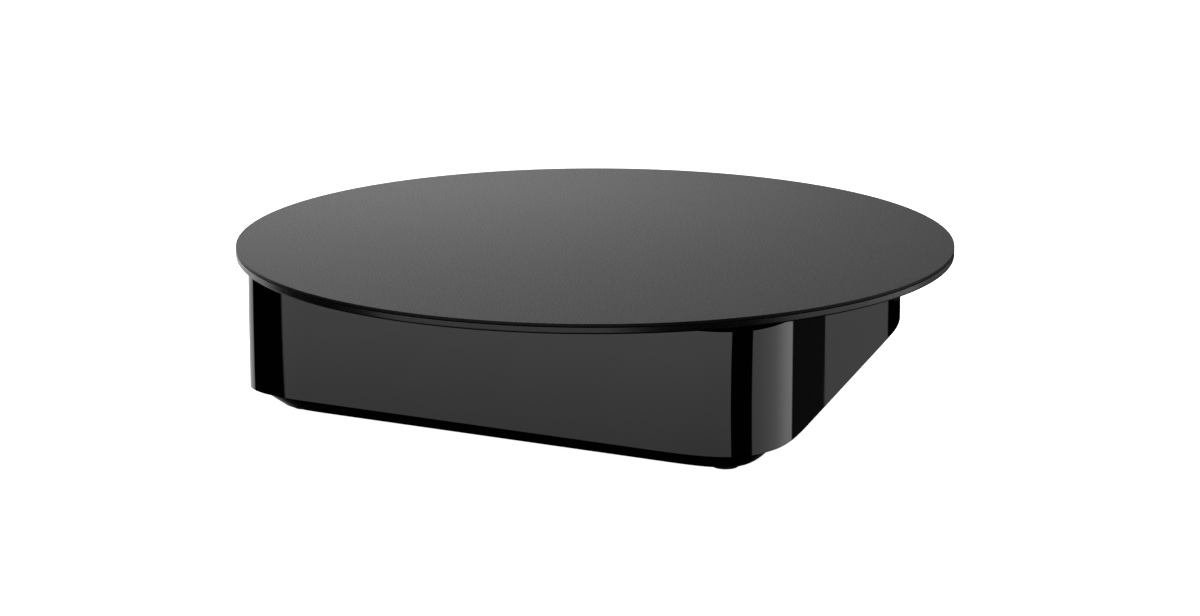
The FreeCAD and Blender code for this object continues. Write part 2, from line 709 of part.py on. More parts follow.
def make_platter_plate():
    body = doc.addObject("PartDesign::Body", "platter_plate_body")
    rim = flat_sketch(body, "plate_rim", plate_base)
    sketch_circle(rim, "sizes.platter_diameter / 2")
    padded(body, "plate_disc", rim, "sizes.plate_thickness")
    step = flat_sketch(body, "plate_step", rim_top)
    sketch_circle(step, "sizes.platter_diameter / 2 - sizes.groove_depth")
    padded(body, "plate_raised_disc", step, "sizes.groove_height")
    ribs_base = f"({plate_base} - sizes.rib_depth)"
    for ring in ("inner", "outer"):
        band = flat_sketch(body, f"{ring}_ring", ribs_base)
        radius = f"sizes.{ring}_ring_radius"
        sketch_circle(band, f"{radius} - sizes.rib_thickness / 2")
        sketch_circle(band, f"{radius} + sizes.rib_thickness / 2")
        padded(body, f"{ring}_ring_rib", band, "sizes.rib_depth")
    spoke = flat_sketch(body, "spoke", ribs_base)
    sketch_rectangle(
        spoke,
        "sizes.inner_ring_radius",
        "sizes.outer_ring_radius",
        "-sizes.rib_thickness / 2",
        "sizes.rib_thickness / 2",
    )
    spoke_rib = padded(body, "spoke_rib", spoke, "sizes.rib_depth")
    doc.recompute()
    pattern = body.newObject("PartDesign::PolarPattern", "spoke_pattern")
    pattern.Originals = [spoke_rib]
    pattern.Axis = (origin_feature(body, "Z_Axis"), [""])
    pattern.Angle = 360
    pattern.setExpression("Occurrences", "sizes.rib_count")
    body.Tip = pattern
    holes = shank_holes("plate_hole", PLATTER_SCREWS, plate_base, f"{sheet_base} - {plate_base}")
    sinks = sunk_heads("plate_sink", PLATTER_SCREWS, sheet_base)
    node("platter_plate", cut("platter_plate_cut", body, holes + sinks))


def make_hub():
    steps = (
        ("flange", "sizes.hub_flange_radius", "sizes.hub_flange_thickness", hub_flange_base),
        ("body", "sizes.hub_body_radius", "sizes.hub_body_length", gear_top),
        ("pilot", "sizes.hub_pilot_radius", "sizes.main_gear_thickness", gear_base),
        ("nose", "sizes.hub_nose_radius", "sizes.hub_nose_length", upper_ring_top),
    )
    blank = fuse(
        "hub_blank",
        [disc(f"hub_{name}", radius, height, z=z) for name, radius, height, z in steps],
    )
    bore = disc(
        "hub_bore",
        "sizes.spindle_diameter / 2 + sizes.spindle_fit",
        f"{spindle_top} - {upper_ring_top}",
        z=upper_ring_top,
    )
    tapped = shank_holes("hub_tap", PLATTER_SCREWS, hub_flange_base, "sizes.hub_flange_thickness")
    gear_taps = shank_holes("hub_gear_tap", GEAR_SCREWS, gear_top, "sizes.hub_tap_depth")
    node("hub", cut("hub_cut", blank, [bore] + tapped + gear_taps))


def make_main_gear():
    blank = toothed(
        "main_gear_blank",
        "sizes.main_teeth",
        "sizes.gear_module",
        "sizes.main_gear_thickness",
        "0",
        "0",
        gear_base,
        number("sizes.drive_angle"),
    )
    bore = disc(
        "main_gear_bore",
        "sizes.hub_pilot_radius + sizes.gear_bore_clearance",
        "sizes.main_gear_thickness",
        z=gear_base,
    )
    window_places = on_circle("sizes.gear_window_circle", int(number("sizes.gear_window_count")))
    thickness = "sizes.main_gear_thickness"
    windows = [
        disc(f"gear_window_{index}", "sizes.gear_window_radius", thickness, x, y, gear_base)
        for index, (x, y) in enumerate(window_places, start=1)
    ]
    holes = shank_holes("main_gear_hole", GEAR_SCREWS, gear_base, "sizes.main_gear_thickness")
    wells = [
        disc(
            f"main_gear_well_{index}",
            "sizes.screw_head_radius + sizes.head_clearance",
            "sizes.screw_head_height",
            x,
            y,
            gear_base,
        )
        for index, (x, y) in enumerate(GEAR_SCREWS, start=1)
    ]
    node("main_gear", cut("main_gear_cut", blank, [bore] + windows + holes + wells))


def make_spindle():
    shaft = disc(
        "spindle_bar",
        "sizes.spindle_diameter / 2",
        f"{spindle_top} - sizes.spindle_bottom",
        z="sizes.spindle_bottom",
    )
    clip_base = f"({lower_ring_base} - sizes.clip_thickness)"
    groove = tube(
        "spindle_groove",
        "sizes.spindle_diameter",
        "sizes.spindle_diameter / 2 - sizes.clip_groove",
        "sizes.clip_thickness",
        z=clip_base,
    )
    node("spindle", cut("spindle_cut", shaft, [groove]))
    ring = tube(
        "clip_ring",
        "sizes.clip_radius",
        "sizes.spindle_diameter / 2 - sizes.clip_groove + sizes.spindle_fit",
        "sizes.clip_thickness",
        z=clip_base,
    )
    mouth = block(
        "clip_mouth",
        "sizes.clip_mouth",
        "2 * sizes.clip_radius",
        "sizes.clip_thickness",
        y="sizes.clip_radius",
        z=clip_base,
    )
    node("spindle_clip", cut("spindle_clip_cut", ring, [mouth]))
    node(
        "bearing_sleeve",
        tube(
            "sleeve",
            "sizes.sleeve_radius",
            "sizes.spindle_diameter / 2 + sizes.spindle_fit",
            f"{upper_ring_base} - {lower_ring_base} - sizes.ring_width",
            z=f"{lower_ring_base} + sizes.ring_width",
        ),
    )


def make_bearings():
    inner_rings = []
    outer_rings = []
    balls = []
    groove_radius = "(sizes.ball_diameter / 2 + sizes.ball_clearance)"
    for name, base in (("lower", lower_ring_base), ("upper", upper_ring_base)):
        middle = f"({base} + sizes.ring_width / 2)"
        groove = doc.addObject("Part::Torus", name + "_ball_track")
        groove.setExpression("Radius1", "sizes.ball_circle / 2")
        groove.setExpression("Radius2", groove_radius)
        place(groove, z=middle)
        inner = tube(
            name + "_inner_blank",
            "sizes.ring_land / 2",
            "sizes.ring_bore / 2 + sizes.spindle_fit",
            "sizes.ring_width",
            z=base,
        )
        inner_rings.append(cut(name + "_inner_ring", inner, [groove]))
        outside = disc(name + "_outer_solid", "sizes.ring_outside / 2", "sizes.ring_width", z=base)
        hollow = disc(
            name + "_outer_hollow",
            "sizes.ring_recess / 2",
            "sizes.ring_width - 2 * sizes.shield_thickness",
            z=f"{base} + sizes.shield_thickness",
        )
        mouth = disc(
            name + "_outer_mouth",
            "sizes.ring_land / 2 + sizes.shield_clearance",
            "sizes.ring_width",
            z=base,
        )
        outer_rings.append(cut(name + "_outer_ring", outside, [hollow, mouth, groove]))
        circle = on_circle("sizes.ball_circle / 2", int(number("sizes.ball_count")))
        for index, (x, y) in enumerate(circle, start=1):
            ball = doc.addObject("Part::Sphere", f"{name}_ball_{index}")
            ball.setExpression("Radius", "sizes.ball_diameter / 2")
            balls.append(place(ball, x, y, middle))
    node("bearing_inner_rings", group("inner_ring_set", inner_rings))
    node("bearing_outer_rings", group("outer_ring_set", outer_rings))
    node("bearing_balls", group("ball_set", balls))


def make_bearing_housing():
    flange = disc("post_flange", "sizes.post_flange_radius", "sizes.post_flange_thickness", z=post_base)
    barrel = disc("post_barrel", "sizes.post_radius", f"{upper_ring_top} - {post_base}", z=post_base)
    seat = "sizes.ring_outside / 2 + sizes.seat_fit"
    lower = disc("lower_seat", seat, "sizes.seat_lift + sizes.ring_width", z=post_base)
    upper = disc("upper_seat", seat, "sizes.ring_width", z=upper_ring_base)
    through = disc("post_through", "sizes.post_bore", f"{upper_ring_top} - {post_base}", z=post_base)
    holes = shank_holes("post_hole", POST_SCREWS, post_base, "sizes.post_flange_thickness")
    blank = fuse("post_blank", [flange, barrel])
    node("bearing_housing", cut("bearing_housing_cut", blank, [lower, upper, through] + holes))


def make_chassis_plate():
    body = doc.addObject("PartDesign::Body", "chassis_plate_body")
    outline = flat_sketch(body, "chassis_outline", chassis_base)
    sketch_rectangle(
        outline,
        "-sizes.chassis_left",
        "sizes.chassis_right",
        "-sizes.chassis_front",
        "sizes.chassis_back",
    )
    pad = padded(body, "chassis_pad", outline, "sizes.chassis_thickness")
    doc.recompute()
    upright = [
        f"Edge{index}"
        for index, edge in enumerate(pad.Shape.Edges, start=1)
        if abs(edge.tangentAt(edge.FirstParameter).z) > 0.9
    ]
    corners = body.newObject("PartDesign::Fillet", "chassis_corners")
    corners.Base = (pad, upright)
    corners.setExpression("Radius", "sizes.chassis_corner")
    post_hole = disc(
        "chassis_post_hole",
        "sizes.post_radius + sizes.chassis_hole_clearance",
        "sizes.chassis_thickness",
        z=chassis_base,
    )
    pilot_hole = disc(
        "chassis_pilot_hole",
        "sizes.motor_pilot_radius + sizes.motor_pilot_clearance",
        "sizes.chassis_thickness",
        motor_x,
        motor_y,
        chassis_base,
    )
    axle_hole = disc(
        "chassis_axle_hole",
        "sizes.axle_diameter / 2",
        "sizes.chassis_thickness",
        idler_x,
        idler_y,
        chassis_base,
    )
    places = list(CHASSIS_POSTS.values()) + MOTOR_SCREWS
    holes = shank_holes("chassis_hole", places, chassis_base, "sizes.chassis_thickness")
    sinks = sunk_heads("chassis_sink", MOTOR_SCREWS, chassis_top)
    tools = [post_hole, pilot_hole, axle_hole] + holes + sinks
    node("chassis_plate", cut("chassis_plate_cut", body, tools))
    screws(
        "chassis_screws",
        CHASSIS_POSTS.values(),
        chassis_top,
        "sizes.chassis_screw_length",
    )


def make_idler():
    node(
        "axle_washer",
        tube(
            "washer",
            "sizes.axle_diameter",
            "sizes.axle_diameter / 2 + sizes.axle_fit",
            "sizes.washer_thickness",
            idler_x,
            idler_y,
            chassis_top,
        ),
    )
    axle = disc(
        "idler_axle_bar",
        "sizes.axle_diameter / 2",
        f"{axle_clip_top} + sizes.axle_tip - {chassis_base}",
        idler_x,
        idler_y,
        chassis_base,
    )
    clip_bore = "(sizes.axle_diameter / 2 - sizes.axle_groove)"
    groove = tube(
        "axle_groove",
        "sizes.axle_diameter",
        clip_bore,
        "sizes.axle_clip_thickness",
        idler_x,
        idler_y,
        idler_top,
    )
    node("idler_axle", cut("idler_axle_cut", axle, [groove]))
    ring = tube(
        "axle_clip_ring",
        "sizes.axle_diameter",
        f"{clip_bore} + sizes.spindle_fit",
        "sizes.axle_clip_thickness",
        idler_x,
        idler_y,
        idler_top,
    )
    mouth = block(
        "axle_clip_mouth",
        "sizes.axle_clip_mouth",
        "2 * sizes.axle_diameter",
        "sizes.axle_clip_thickness",
        idler_x,
        f"{idler_y} + sizes.axle_diameter",
        idler_top,
    )
    node("axle_clip", cut("axle_clip_cut", ring, [mouth]))
    half_tooth = 180 / number("sizes.idler_small_teeth")
    small = toothed(
        "idler_small_step",
        "sizes.idler_small_teeth",
        "sizes.gear_module",
        f"{idler_top} - {small_step_base}",
        idler_x,
        idler_y,
        small_step_base,
        number("sizes.drive_angle") + 180 + half_tooth,
    )
    large = toothed(
        "idler_large_step",
        "sizes.idler_large_teeth",
        "sizes.fine_module",
        "sizes.large_step_thickness",
        idler_x,
        idler_y,
        washer_top,
        number("sizes.motor_angle"),
    )
    bore = disc(
        "idler_bore",
        "sizes.axle_diameter / 2 + sizes.axle_fit",
        f"{idler_top} - {washer_top}",
        idler_x,
        idler_y,
        washer_top,
    )
    node("idler_gear", cut("idler_gear_cut", fuse("idler_blank", [small, large]), [bore]))


def motor_block(name, height, z):
    """Square slab of the motor with its four corners cut off."""
    square = block(name + "_square", "sizes.motor_side", "sizes.motor_side", height, motor_x, motor_y, z)
    turned = block(name + "_turned", "0", "0", height)
    for side in ("Length", "Width"):
        turned.setExpression(side, "(sizes.motor_side - sizes.motor_corner) * sqrt(2)")
    turned.Placement.Rotation = Rotation(Vector(0, 0, 1), 45)
    place(turned, motor_x, f"{motor_y} - (sizes.motor_side - sizes.motor_corner)", z)
    return common(name, [square, turned])


def make_motor():
    shaft_hole = "sizes.motor_shaft_diameter / 2 + sizes.rotor_gap"
    seat = "sizes.motor_ring_radius + sizes.seat_fit"
    front_cap_height = f"({pilot_top} - {front_cap_base})"
    front = fuse(
        "motor_front_blank",
        [
            motor_block("motor_front_slab", "sizes.motor_cap_thickness", front_cap_base),
            disc(
                "motor_pilot",
                "sizes.motor_pilot_radius",
                "sizes.motor_pilot_height",
                motor_x,
                motor_y,
                chassis_base,
            ),
        ],
    )
    front_tools = [
        disc("motor_front_bore", shaft_hole, front_cap_height, motor_x, motor_y, front_cap_base),
        disc("motor_front_seat", seat, "sizes.motor_ring_width", motor_x, motor_y, front_cap_base),
    ] + shank_holes("motor_tap", MOTOR_SCREWS, front_cap_base, "sizes.motor_cap_thickness")
    node("motor_front_cap", cut("motor_front_cut", front, front_tools))
    stack = motor_block("motor_stack_slab", stack_length, stack_base)
    hollow = disc(
        "motor_stack_hollow",
        "sizes.rotor_radius + sizes.rotor_gap",
        stack_length,
        motor_x,
        motor_y,
        stack_base,
    )
    node("motor_stator", cut("motor_stator_cut", stack, [hollow]))
    rear = motor_block("motor_rear_slab", "sizes.motor_cap_thickness", rear_cap_base)
    rear_seat_base = f"({stack_base} - sizes.motor_ring_width)"
    rear_tools = [
        disc("motor_rear_seat", seat, "sizes.motor_ring_width", motor_x, motor_y, rear_seat_base),
        disc(
            "motor_rear_bore",
            shaft_hole,
            "sizes.shaft_relief",
            motor_x,
            motor_y,
            f"{rear_seat_base} - sizes.shaft_relief",
        ),
    ]
    node("motor_rear_cap", cut("motor_rear_cut", rear, rear_tools))
    rings = [
        tube(
            name,
            "sizes.motor_ring_radius",
            "sizes.motor_shaft_diameter / 2 + sizes.spindle_fit",
            "sizes.motor_ring_width",
            motor_x,
            motor_y,
            z,
        )
        for name, z in (("motor_ring_front", front_cap_base), ("motor_ring_rear", rear_seat_base))
    ]
    node("motor_bearings", group("motor_ring_set", rings))
    node(
        "motor_shaft",
        disc(
            "motor_shaft_bar",
            "sizes.motor_shaft_diameter / 2",
            f"{shaft_top} - {rear_seat_base}",
            motor_x,
            motor_y,
            rear_seat_base,
        ),
    )
    node(
        "motor_rotor",
        tube(
            "rotor",
            "sizes.rotor_radius",
            "sizes.motor_shaft_diameter / 2",
            f"{stack_length} - 2 * sizes.rotor_gap",
            motor_x,
            motor_y,
            f"{stack_base} + sizes.rotor_gap",
        ),
    )
    screws("motor_screws", MOTOR_SCREWS, chassis_top, "sizes.motor_screw_length", head="flat")
    node(
        "motor_socket",
        block(
            "motor_socket_block",
            "sizes.socket_depth",
            "sizes.header_width",
            "sizes.header_height",
            f"{motor_x} + (sizes.motor_side + sizes.socket_depth) / 2",
            motor_y,
            f"{lead_level} - sizes.header_height / 2",
        ),
    )


def make_pinion():
    half_tooth = 180 / number("sizes.pinion_teeth")
    teeth = toothed(
        "pinion_teeth_blank",
        "sizes.pinion_teeth",
        "sizes.fine_module",
        "sizes.pinion_thickness",
        motor_x,
        motor_y,
        pinion_base,
        number("sizes.motor_angle") + 180 + half_tooth,
    )
    collar = disc(
        "pinion_collar",
        "sizes.pinion_collar_radius",
        "sizes.pinion_collar_height",
        motor_x,
        motor_y,
        pinion_top,
    )
    bore = disc(
        "pinion_bore",
        "sizes.motor_shaft_diameter / 2",
        f"{shaft_top} - {pinion_base}",
        motor_x,
        motor_y,
        pinion_base,
    )
    node("motor_pinion", cut("motor_pinion_cut", fuse("pinion_blank", [teeth, collar]), [bore]))


def make_board():
    body = doc.addObject("PartDesign::Body", "control_board_body")
    outline = flat_sketch(body, "board_outline", board_base)
    sketch_rectangle(
        outline,
        "sizes.board_left",
        "sizes.board_left + sizes.board_width",
        "-sizes.board_front",
        board_back,
    )
    padded(body, "board_pad", outline, "sizes.board_thickness")
    holes = shank_holes("board_hole", BOARD_SCREWS, board_base, "sizes.board_thickness", small=True)
    node("control_board", cut("control_board_cut", body, holes))
    screws("board_screws", BOARD_SCREWS, board_top, "sizes.board_screw_length", small=True)
    chips = [
        block(
            f"{name}_chip",
            f"sizes.{name}_chip_side",
            f"sizes.{name}_chip_side",
            "sizes.chip_height",
            board_x,
            f"sizes.{name}_chip_place - sizes.board_front",
            board_top,
        )
        for name in ("driver", "logic")
    ]
    node("board_chips", group("chip_set", chips))
    cans = [
        disc(
            f"supply_can_{index}",
            "sizes.can_radius",
            "sizes.can_height",
            f"{board_x} + {side} * sizes.can_spread / 2",
            "sizes.can_place - sizes.board_front",
            board_top,
        )
        for index, side in enumerate((-1, 1), start=1)
    ]
    node("board_capacitors", group("can_set", cans))
    node(
        "lead_header",
        block(
            "lead_header_block",
            "sizes.header_width",
            "sizes.header_length",
            "sizes.header_height",
            board_x,
            "sizes.board_hole_inset + sizes.header_length / 2 - sizes.board_front",
            board_top,
        ),
    )


usb_x = "(sizes.board_left + sizes.port_inset + sizes.usb_width / 2)"
jack_x = "(sizes.board_left + sizes.board_width - sizes.port_inset - sizes.jack_width / 2)"


def make_ports():
    back = pan_back_wall
    shell = block(
        "usb_shell",
        "sizes.usb_width",
        "sizes.usb_length",
        "sizes.usb_height",
        usb_x,
        f"{back} - sizes.usb_length / 2",
        board_top,
    )
    mouth = block(
        "usb_mouth",
        "sizes.usb_width - 2 * sizes.usb_wall",
        "sizes.port_depth",
        "sizes.usb_height - 2 * sizes.usb_wall",
        usb_x,
        f"{back} - sizes.port_depth / 2",
        f"{board_top} + sizes.usb_wall",
    )
    tongue = block(
        "usb_tongue",
        "sizes.usb_tongue_width",
        "sizes.port_depth - sizes.contact_inset",
        "sizes.usb_tongue_height",
        usb_x,
        f"{back} - (sizes.port_depth + sizes.contact_inset) / 2",
        f"{board_top} + (sizes.usb_height - sizes.usb_tongue_height) / 2",
    )
    node("data_socket", fuse("data_socket_blank", [cut("usb_case", shell, [mouth]), tongue]))
    case = block(
        "jack_case",
        "sizes.jack_width",
        "sizes.jack_length",
        "sizes.jack_height",
        jack_x,
        f"{back} - sizes.jack_length / 2",
        board_top,
    )
    hole = disc("jack_hole", "sizes.jack_hole_radius", "sizes.port_depth")
    pin = disc("jack_pin", "sizes.jack_pin_radius", "sizes.port_depth - sizes.contact_inset")
    axis_level = f"{board_top} + sizes.jack_height / 2"
    for piece, start in ((hole, back), (pin, f"{back} - sizes.contact_inset")):
        piece.Placement.Rotation = Rotation(Vector(1, 0, 0), 90)
        place(piece, jack_x, start, axis_level)
    node("power_socket", fuse("power_socket_blank", [cut("jack_shell", case, [hole]), pin]))


def routed_tube(points, diameter):
    """Tube along straight runs joined by tangent arcs, each as large as its runs allow."""
    edges = []
    start = points[0]
    radii = []
    for index in range(1, len(points) - 1):
        corner = points[index]
        back = points[index - 1] - corner
        ahead = points[index + 1] - corner
        shorter = min(back.Length, ahead.Length)
        turn = math.pi - back.getAngle(ahead)
        reach = 0.45 * shorter
        radius = reach / math.tan(turn / 2)
        radii.append(radius)
        back.normalize()
        ahead.normalize()
        inward = (back + ahead).normalize()
        middle = corner + inward * (radius / math.cos(turn / 2) - radius)
        enter = corner + back * reach
        leave = corner + ahead * reach
        edges.append(Part.LineSegment(start, enter).toShape())
        edges.append(Part.Arc(enter, middle, leave).toShape())
        start = leave
    edges.append(Part.LineSegment(start, points[-1]).toShape())
    path = Part.Wire(edges)
    heading = points[1] - points[0]
    profile = Part.Wire([Part.Circle(points[0], heading, diameter / 2).toShape()])
    solid = path.makePipeShell([profile], True, True)
    ideal = path.Length * math.pi * diameter**2 / 4
    print("lead: radii", [round(radius, 1) for radius in radii])
    print("lead: volume over section times length", round(solid.Volume / ideal, 4))
    return solid


def make_motor_lead():
    """Lead from the motor's socket, round the bearing housing, to the board's header."""
    level = number(lead_level)
    start = Vector(
        number(f"{motor_x} + sizes.motor_side / 2 + sizes.socket_depth"), number(motor_y), level
    )
    end = Vector(number(board_x), number("sizes.board_hole_inset - sizes.board_front"), level)
    route = [
        start,
        start + Vector(number("sizes.lead_first_run"), 0, 0),
        start + Vector(number("sizes.lead_turn_reach"), -number("sizes.lead_turn_offset"), 0),
        end - Vector(0, number("sizes.lead_last_run"), 0),
        end,
    ]
    lead = doc.addObject("Part::Feature", "motor_lead_tube")
    lead.Shape = routed_tube(route, number("sizes.lead_diameter"))
    node("motor_lead", lead)


def make_upper_housing():
    outer = raised("housing_block", housing_outline("housing_line", 0), deck_top)
    doc.recompute()
    rounded = doc.addObject("Part::Fillet", "housing_round")
    rounded.Base = outer
    radius = number("sizes.top_edge_round")
    rounded.Edges = [
        (index, radius, radius)
        for index, edge in enumerate(outer.Shape.Edges, start=1)
        if edge.BoundBox.ZMin > number(deck_top) - radius
    ]
    wall = number("sizes.housing_wall")
    hollow = raised("housing_hollow", housing_outline("housing_inner_line", wall), deck_base)
    opening = disc("deck_hole", "sizes.deck_opening / 2", "sizes.total_height")
    shell = cut("housing_shell", rounded, [hollow, opening, under_edge("below_edge", 0)])
    bosses = [
        disc(
            f"housing_boss_{index}",
            "sizes.housing_boss_radius",
            f"({deck_base} + {deck_top}) / 2 - sizes.pan_boss_top",
            x,
            y,
            "sizes.pan_boss_top",
        )
        for index, (x, y) in enumerate(FEET.values(), start=1)
    ]
    pilots = shank_holes("housing_pilot", FEET.values(), "sizes.pan_boss_top", "sizes.housing_screw_length")
    node("upper_housing", cut("upper_housing_cut", fuse("housing_blank", [shell] + bosses), pilots))


def make_base_pan():
    wall = number("sizes.pan_wall")
    flare = number("sizes.pan_flare")
    floor_share = number("sizes.pan_floor") / number("sizes.pan_flare_height")
    gap = number("sizes.housing_wall") + number("sizes.ledge_clearance")
    ledge = number("sizes.ledge_thickness")
    inside = raised("pan_limit", housing_outline("pan_limit_line", gap), "sizes.total_height")
    bottom = lofted(
        "pan_chamfer",
        pan_outline("pan_bottom_line", 0, pan_base),
        pan_outline("pan_flare_line", flare, flare_top),
    )
    upper = raised("pan_upper", pan_outline("pan_upper_line", flare, flare_top), "sizes.total_height")
    ledge_top = under_edge("below_ledge_top", ledge)
    tub = common("pan_tub", [upper, inside, ledge_top])
    slab = cut("pan_slab", common("pan_slab_blank", [inside, ledge_top]), [under_edge("below_ledge", 0)])
    hollow_low = lofted(
        "pan_hollow_low",
        pan_outline("pan_floor_line", flare * floor_share - wall, floor_top),
        pan_outline("pan_hollow_line", flare - wall, flare_top),
    )
    hollow_high = raised(
        "pan_hollow_high",
        pan_outline("pan_hollow_high_line", flare - wall, flare_top),
        "sizes.total_height",
    )
    hollow = fuse("pan_hollow", [hollow_low, hollow_high])
    tray = cut("pan_tray", fuse("pan_blank", [bottom, tub, slab]), [hollow])
    stands = [
        disc(
            f"chassis_stand_{index}",
            "sizes.stand_radius",
            f"{chassis_base} - {floor_middle}",
            x,
            y,
            floor_middle,
        )
        for index, (x, y) in enumerate(CHASSIS_POSTS.values(), start=1)
    ]
    board_stands = [
        disc(
            f"board_stand_{index}",
            "sizes.board_post_radius",
            f"{board_base} - {floor_middle}",
            x,
            y,
            floor_middle,
        )
        for index, (x, y) in enumerate(BOARD_SCREWS, start=1)
    ]
    bosses = [
        disc(
            f"pan_boss_{index}",
            "sizes.pan_boss_radius",
            f"sizes.pan_boss_top - {pan_base}",
            x,
            y,
            pan_base,
        )
        for index, (x, y) in enumerate(FEET.values(), start=1)
    ]
    pad = disc("post_pad", "sizes.post_flange_radius", f"{post_base} - {floor_middle}", z=floor_middle)
    whole = fuse("pan_whole", [tray, pad] + stands + board_stands + bosses)
    pad_hollow = disc("post_pad_hollow", "sizes.post_pad_bore", "sizes.post_pad_height", z=floor_top)
    wells = [
        disc(
            f"screw_well_{index}",
            "sizes.well_radius",
            f"sizes.pan_boss_top - sizes.well_roof - {pan_base}",
            x,
            y,
            pan_base,
        )
        for index, (x, y) in enumerate(FEET.values(), start=1)
    ]
    holes = (
        shank_holes("pan_boss_hole", FEET.values(), pan_base, "sizes.pan_boss_top")
        + shank_holes(
            "stand_hole",
            CHASSIS_POSTS.values(),
            f"{chassis_top} - sizes.chassis_screw_length",
            "sizes.chassis_screw_length",
        )
        + shank_holes(
            "board_stand_hole",
            BOARD_SCREWS,
            f"{board_top} - sizes.board_screw_length",
            "sizes.board_screw_length",
            small=True,
        )
        + shank_holes(
            "post_pad_hole",
            POST_SCREWS,
            f"{flange_top} - sizes.post_screw_length",
            "sizes.post_screw_length",
        )
    )
    ports = [
        block(
            f"{name}_opening",
            f"sizes.{name}_width + 2 * sizes.port_clearance",
            "4 * sizes.pan_wall",
            f"sizes.{name}_height + 2 * sizes.port_clearance",
            x,
            pan_back_wall,
            f"{board_top} - sizes.port_clearance",
        )
        for name, x in (("usb", usb_x), ("jack", jack_x))
    ]
    node("base_pan", cut("base_pan_cut", whole, [pad_hollow] + wells + holes + ports))


def make_feet():
    for label, (x, y) in FEET.items():
        sole = cone(
            label + "_sole",
            "sizes.foot_radius - sizes.foot_edge",
            "sizes.foot_radius",
            "sizes.foot_edge",
            x,
            y,
        )
        pad = disc(
            label + "_pad",
            "sizes.foot_radius",
            "sizes.foot_height - sizes.foot_edge",
            x,
            y,
            "sizes.foot_edge",
        )
        plug = disc(
            label + "_plug",
            "sizes.well_radius - sizes.foot_plug_clearance",
            "sizes.foot_plug_height",
            x,
            y,
            "sizes.foot_height",
        )
        node(label, fuse(label + "_blank", [sole, pad, plug]))


def make_other_screws():
    screws("platter_screws", PLATTER_SCREWS, sheet_base, "sizes.platter_screw_length", head="flat")
    screws(
        "gear_screws",
        GEAR_SCREWS,
        f"{gear_base} + sizes.screw_head_height",
        "sizes.gear_screw_length",
        upside_down=True,
    )
    screws("bearing_housing_screws", POST_SCREWS, flange_top, "sizes.post_screw_length")
    screws(
        "housing_screws",
        FEET.values(),
        "sizes.pan_boss_top - sizes.well_roof",
        "sizes.housing_screw_length",
        upside_down=True,
    )


make_top_sheet()
make_platter_plate()
make_hub()
make_main_gear()
make_spindle()
make_bearings()
make_bearing_housing()
make_chassis_plate()
make_idler()
make_motor()
make_pinion()
make_board()
make_ports()
make_motor_lead()
make_upper_housing()
make_base_pan()
make_feet()
make_other_screws()
doc.recompute()

for item in doc.Objects:
    if "Invalid" in item.State or "Error" in item.State:
        raise RuntimeError(f"{item.Label} failed: {item.State}")
for part in SUBPARTS:
    if part.Shape.isNull() or not part.Shape.isValid() or part.Shape.Volume <= 0:
        raise RuntimeError(f"{part.Label} has no sound shape")

os.makedirs("parts", exist_ok=True)
for part in SUBPARTS:
    part.Shape.exportStep(f"parts/{part.Label}.step")
    print(part.Label, len(part.Shape.Solids), round(part.Shape.Volume, 1))
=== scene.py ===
import json
import math

import bmesh
import bpy
from mathutils import Matrix, Vector


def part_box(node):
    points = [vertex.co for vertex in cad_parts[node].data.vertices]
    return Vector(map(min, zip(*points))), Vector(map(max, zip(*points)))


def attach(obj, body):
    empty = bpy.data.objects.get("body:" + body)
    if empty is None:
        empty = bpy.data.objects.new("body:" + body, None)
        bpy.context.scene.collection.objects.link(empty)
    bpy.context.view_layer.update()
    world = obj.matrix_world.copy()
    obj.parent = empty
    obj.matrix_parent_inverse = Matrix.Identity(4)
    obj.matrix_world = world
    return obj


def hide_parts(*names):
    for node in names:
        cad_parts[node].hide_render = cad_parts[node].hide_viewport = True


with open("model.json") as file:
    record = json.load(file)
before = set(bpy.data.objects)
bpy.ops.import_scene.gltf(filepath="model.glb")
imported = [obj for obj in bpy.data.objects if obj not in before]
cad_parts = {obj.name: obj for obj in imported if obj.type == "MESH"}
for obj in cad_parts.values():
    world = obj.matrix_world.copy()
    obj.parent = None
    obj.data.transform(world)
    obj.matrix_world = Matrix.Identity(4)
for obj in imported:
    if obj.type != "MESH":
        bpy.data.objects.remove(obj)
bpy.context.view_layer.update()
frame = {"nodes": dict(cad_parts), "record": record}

scene = bpy.context.scene
mm = 0.001


# camera

cameraView = {
    "place": (0.53036, -0.98822, 0.29314),
    "looksAlong": (-0.45892, 0.85758, -0.23225),
    "lens": 123.42,
    "sensorWidth": 36.0,
}


def makeCamera(view):
    data = bpy.data.cameras.new("productCamera")
    data.lens = view["lens"]
    data.sensor_width = view["sensorWidth"]
    data.sensor_fit = "HORIZONTAL"
    camera = bpy.data.objects.new("productCamera", data)
    camera.location = view["place"]
    camera.rotation_mode = "QUATERNION"
    camera.rotation_quaternion = Vector(view["looksAlong"]).to_track_quat("-Z", "Y")
    scene.collection.objects.link(camera)
    scene.camera = camera


makeCamera(cameraView)


# shader building blocks

def mathNode(tree, operation, *values):
    node = tree.nodes.new("ShaderNodeMath")
    node.operation = operation
    for slot, value in enumerate(values):
        if isinstance(value, bpy.types.NodeSocket):
            tree.links.new(value, node.inputs[slot])
        else:
            node.inputs[slot].default_value = value
    return node.outputs[0]


def fadeNode(tree, value, fromMin, fromMax, toMin=0.0, toMax=1.0, kind="SMOOTHSTEP"):
    node = tree.nodes.new("ShaderNodeMapRange")
    node.interpolation_type = kind
    tree.links.new(value, node.inputs["Value"])
    limits = {"From Min": fromMin, "From Max": fromMax, "To Min": toMin, "To Max": toMax}
    for socket, limit in limits.items():
        node.inputs[socket].default_value = limit
    return node.outputs["Result"]


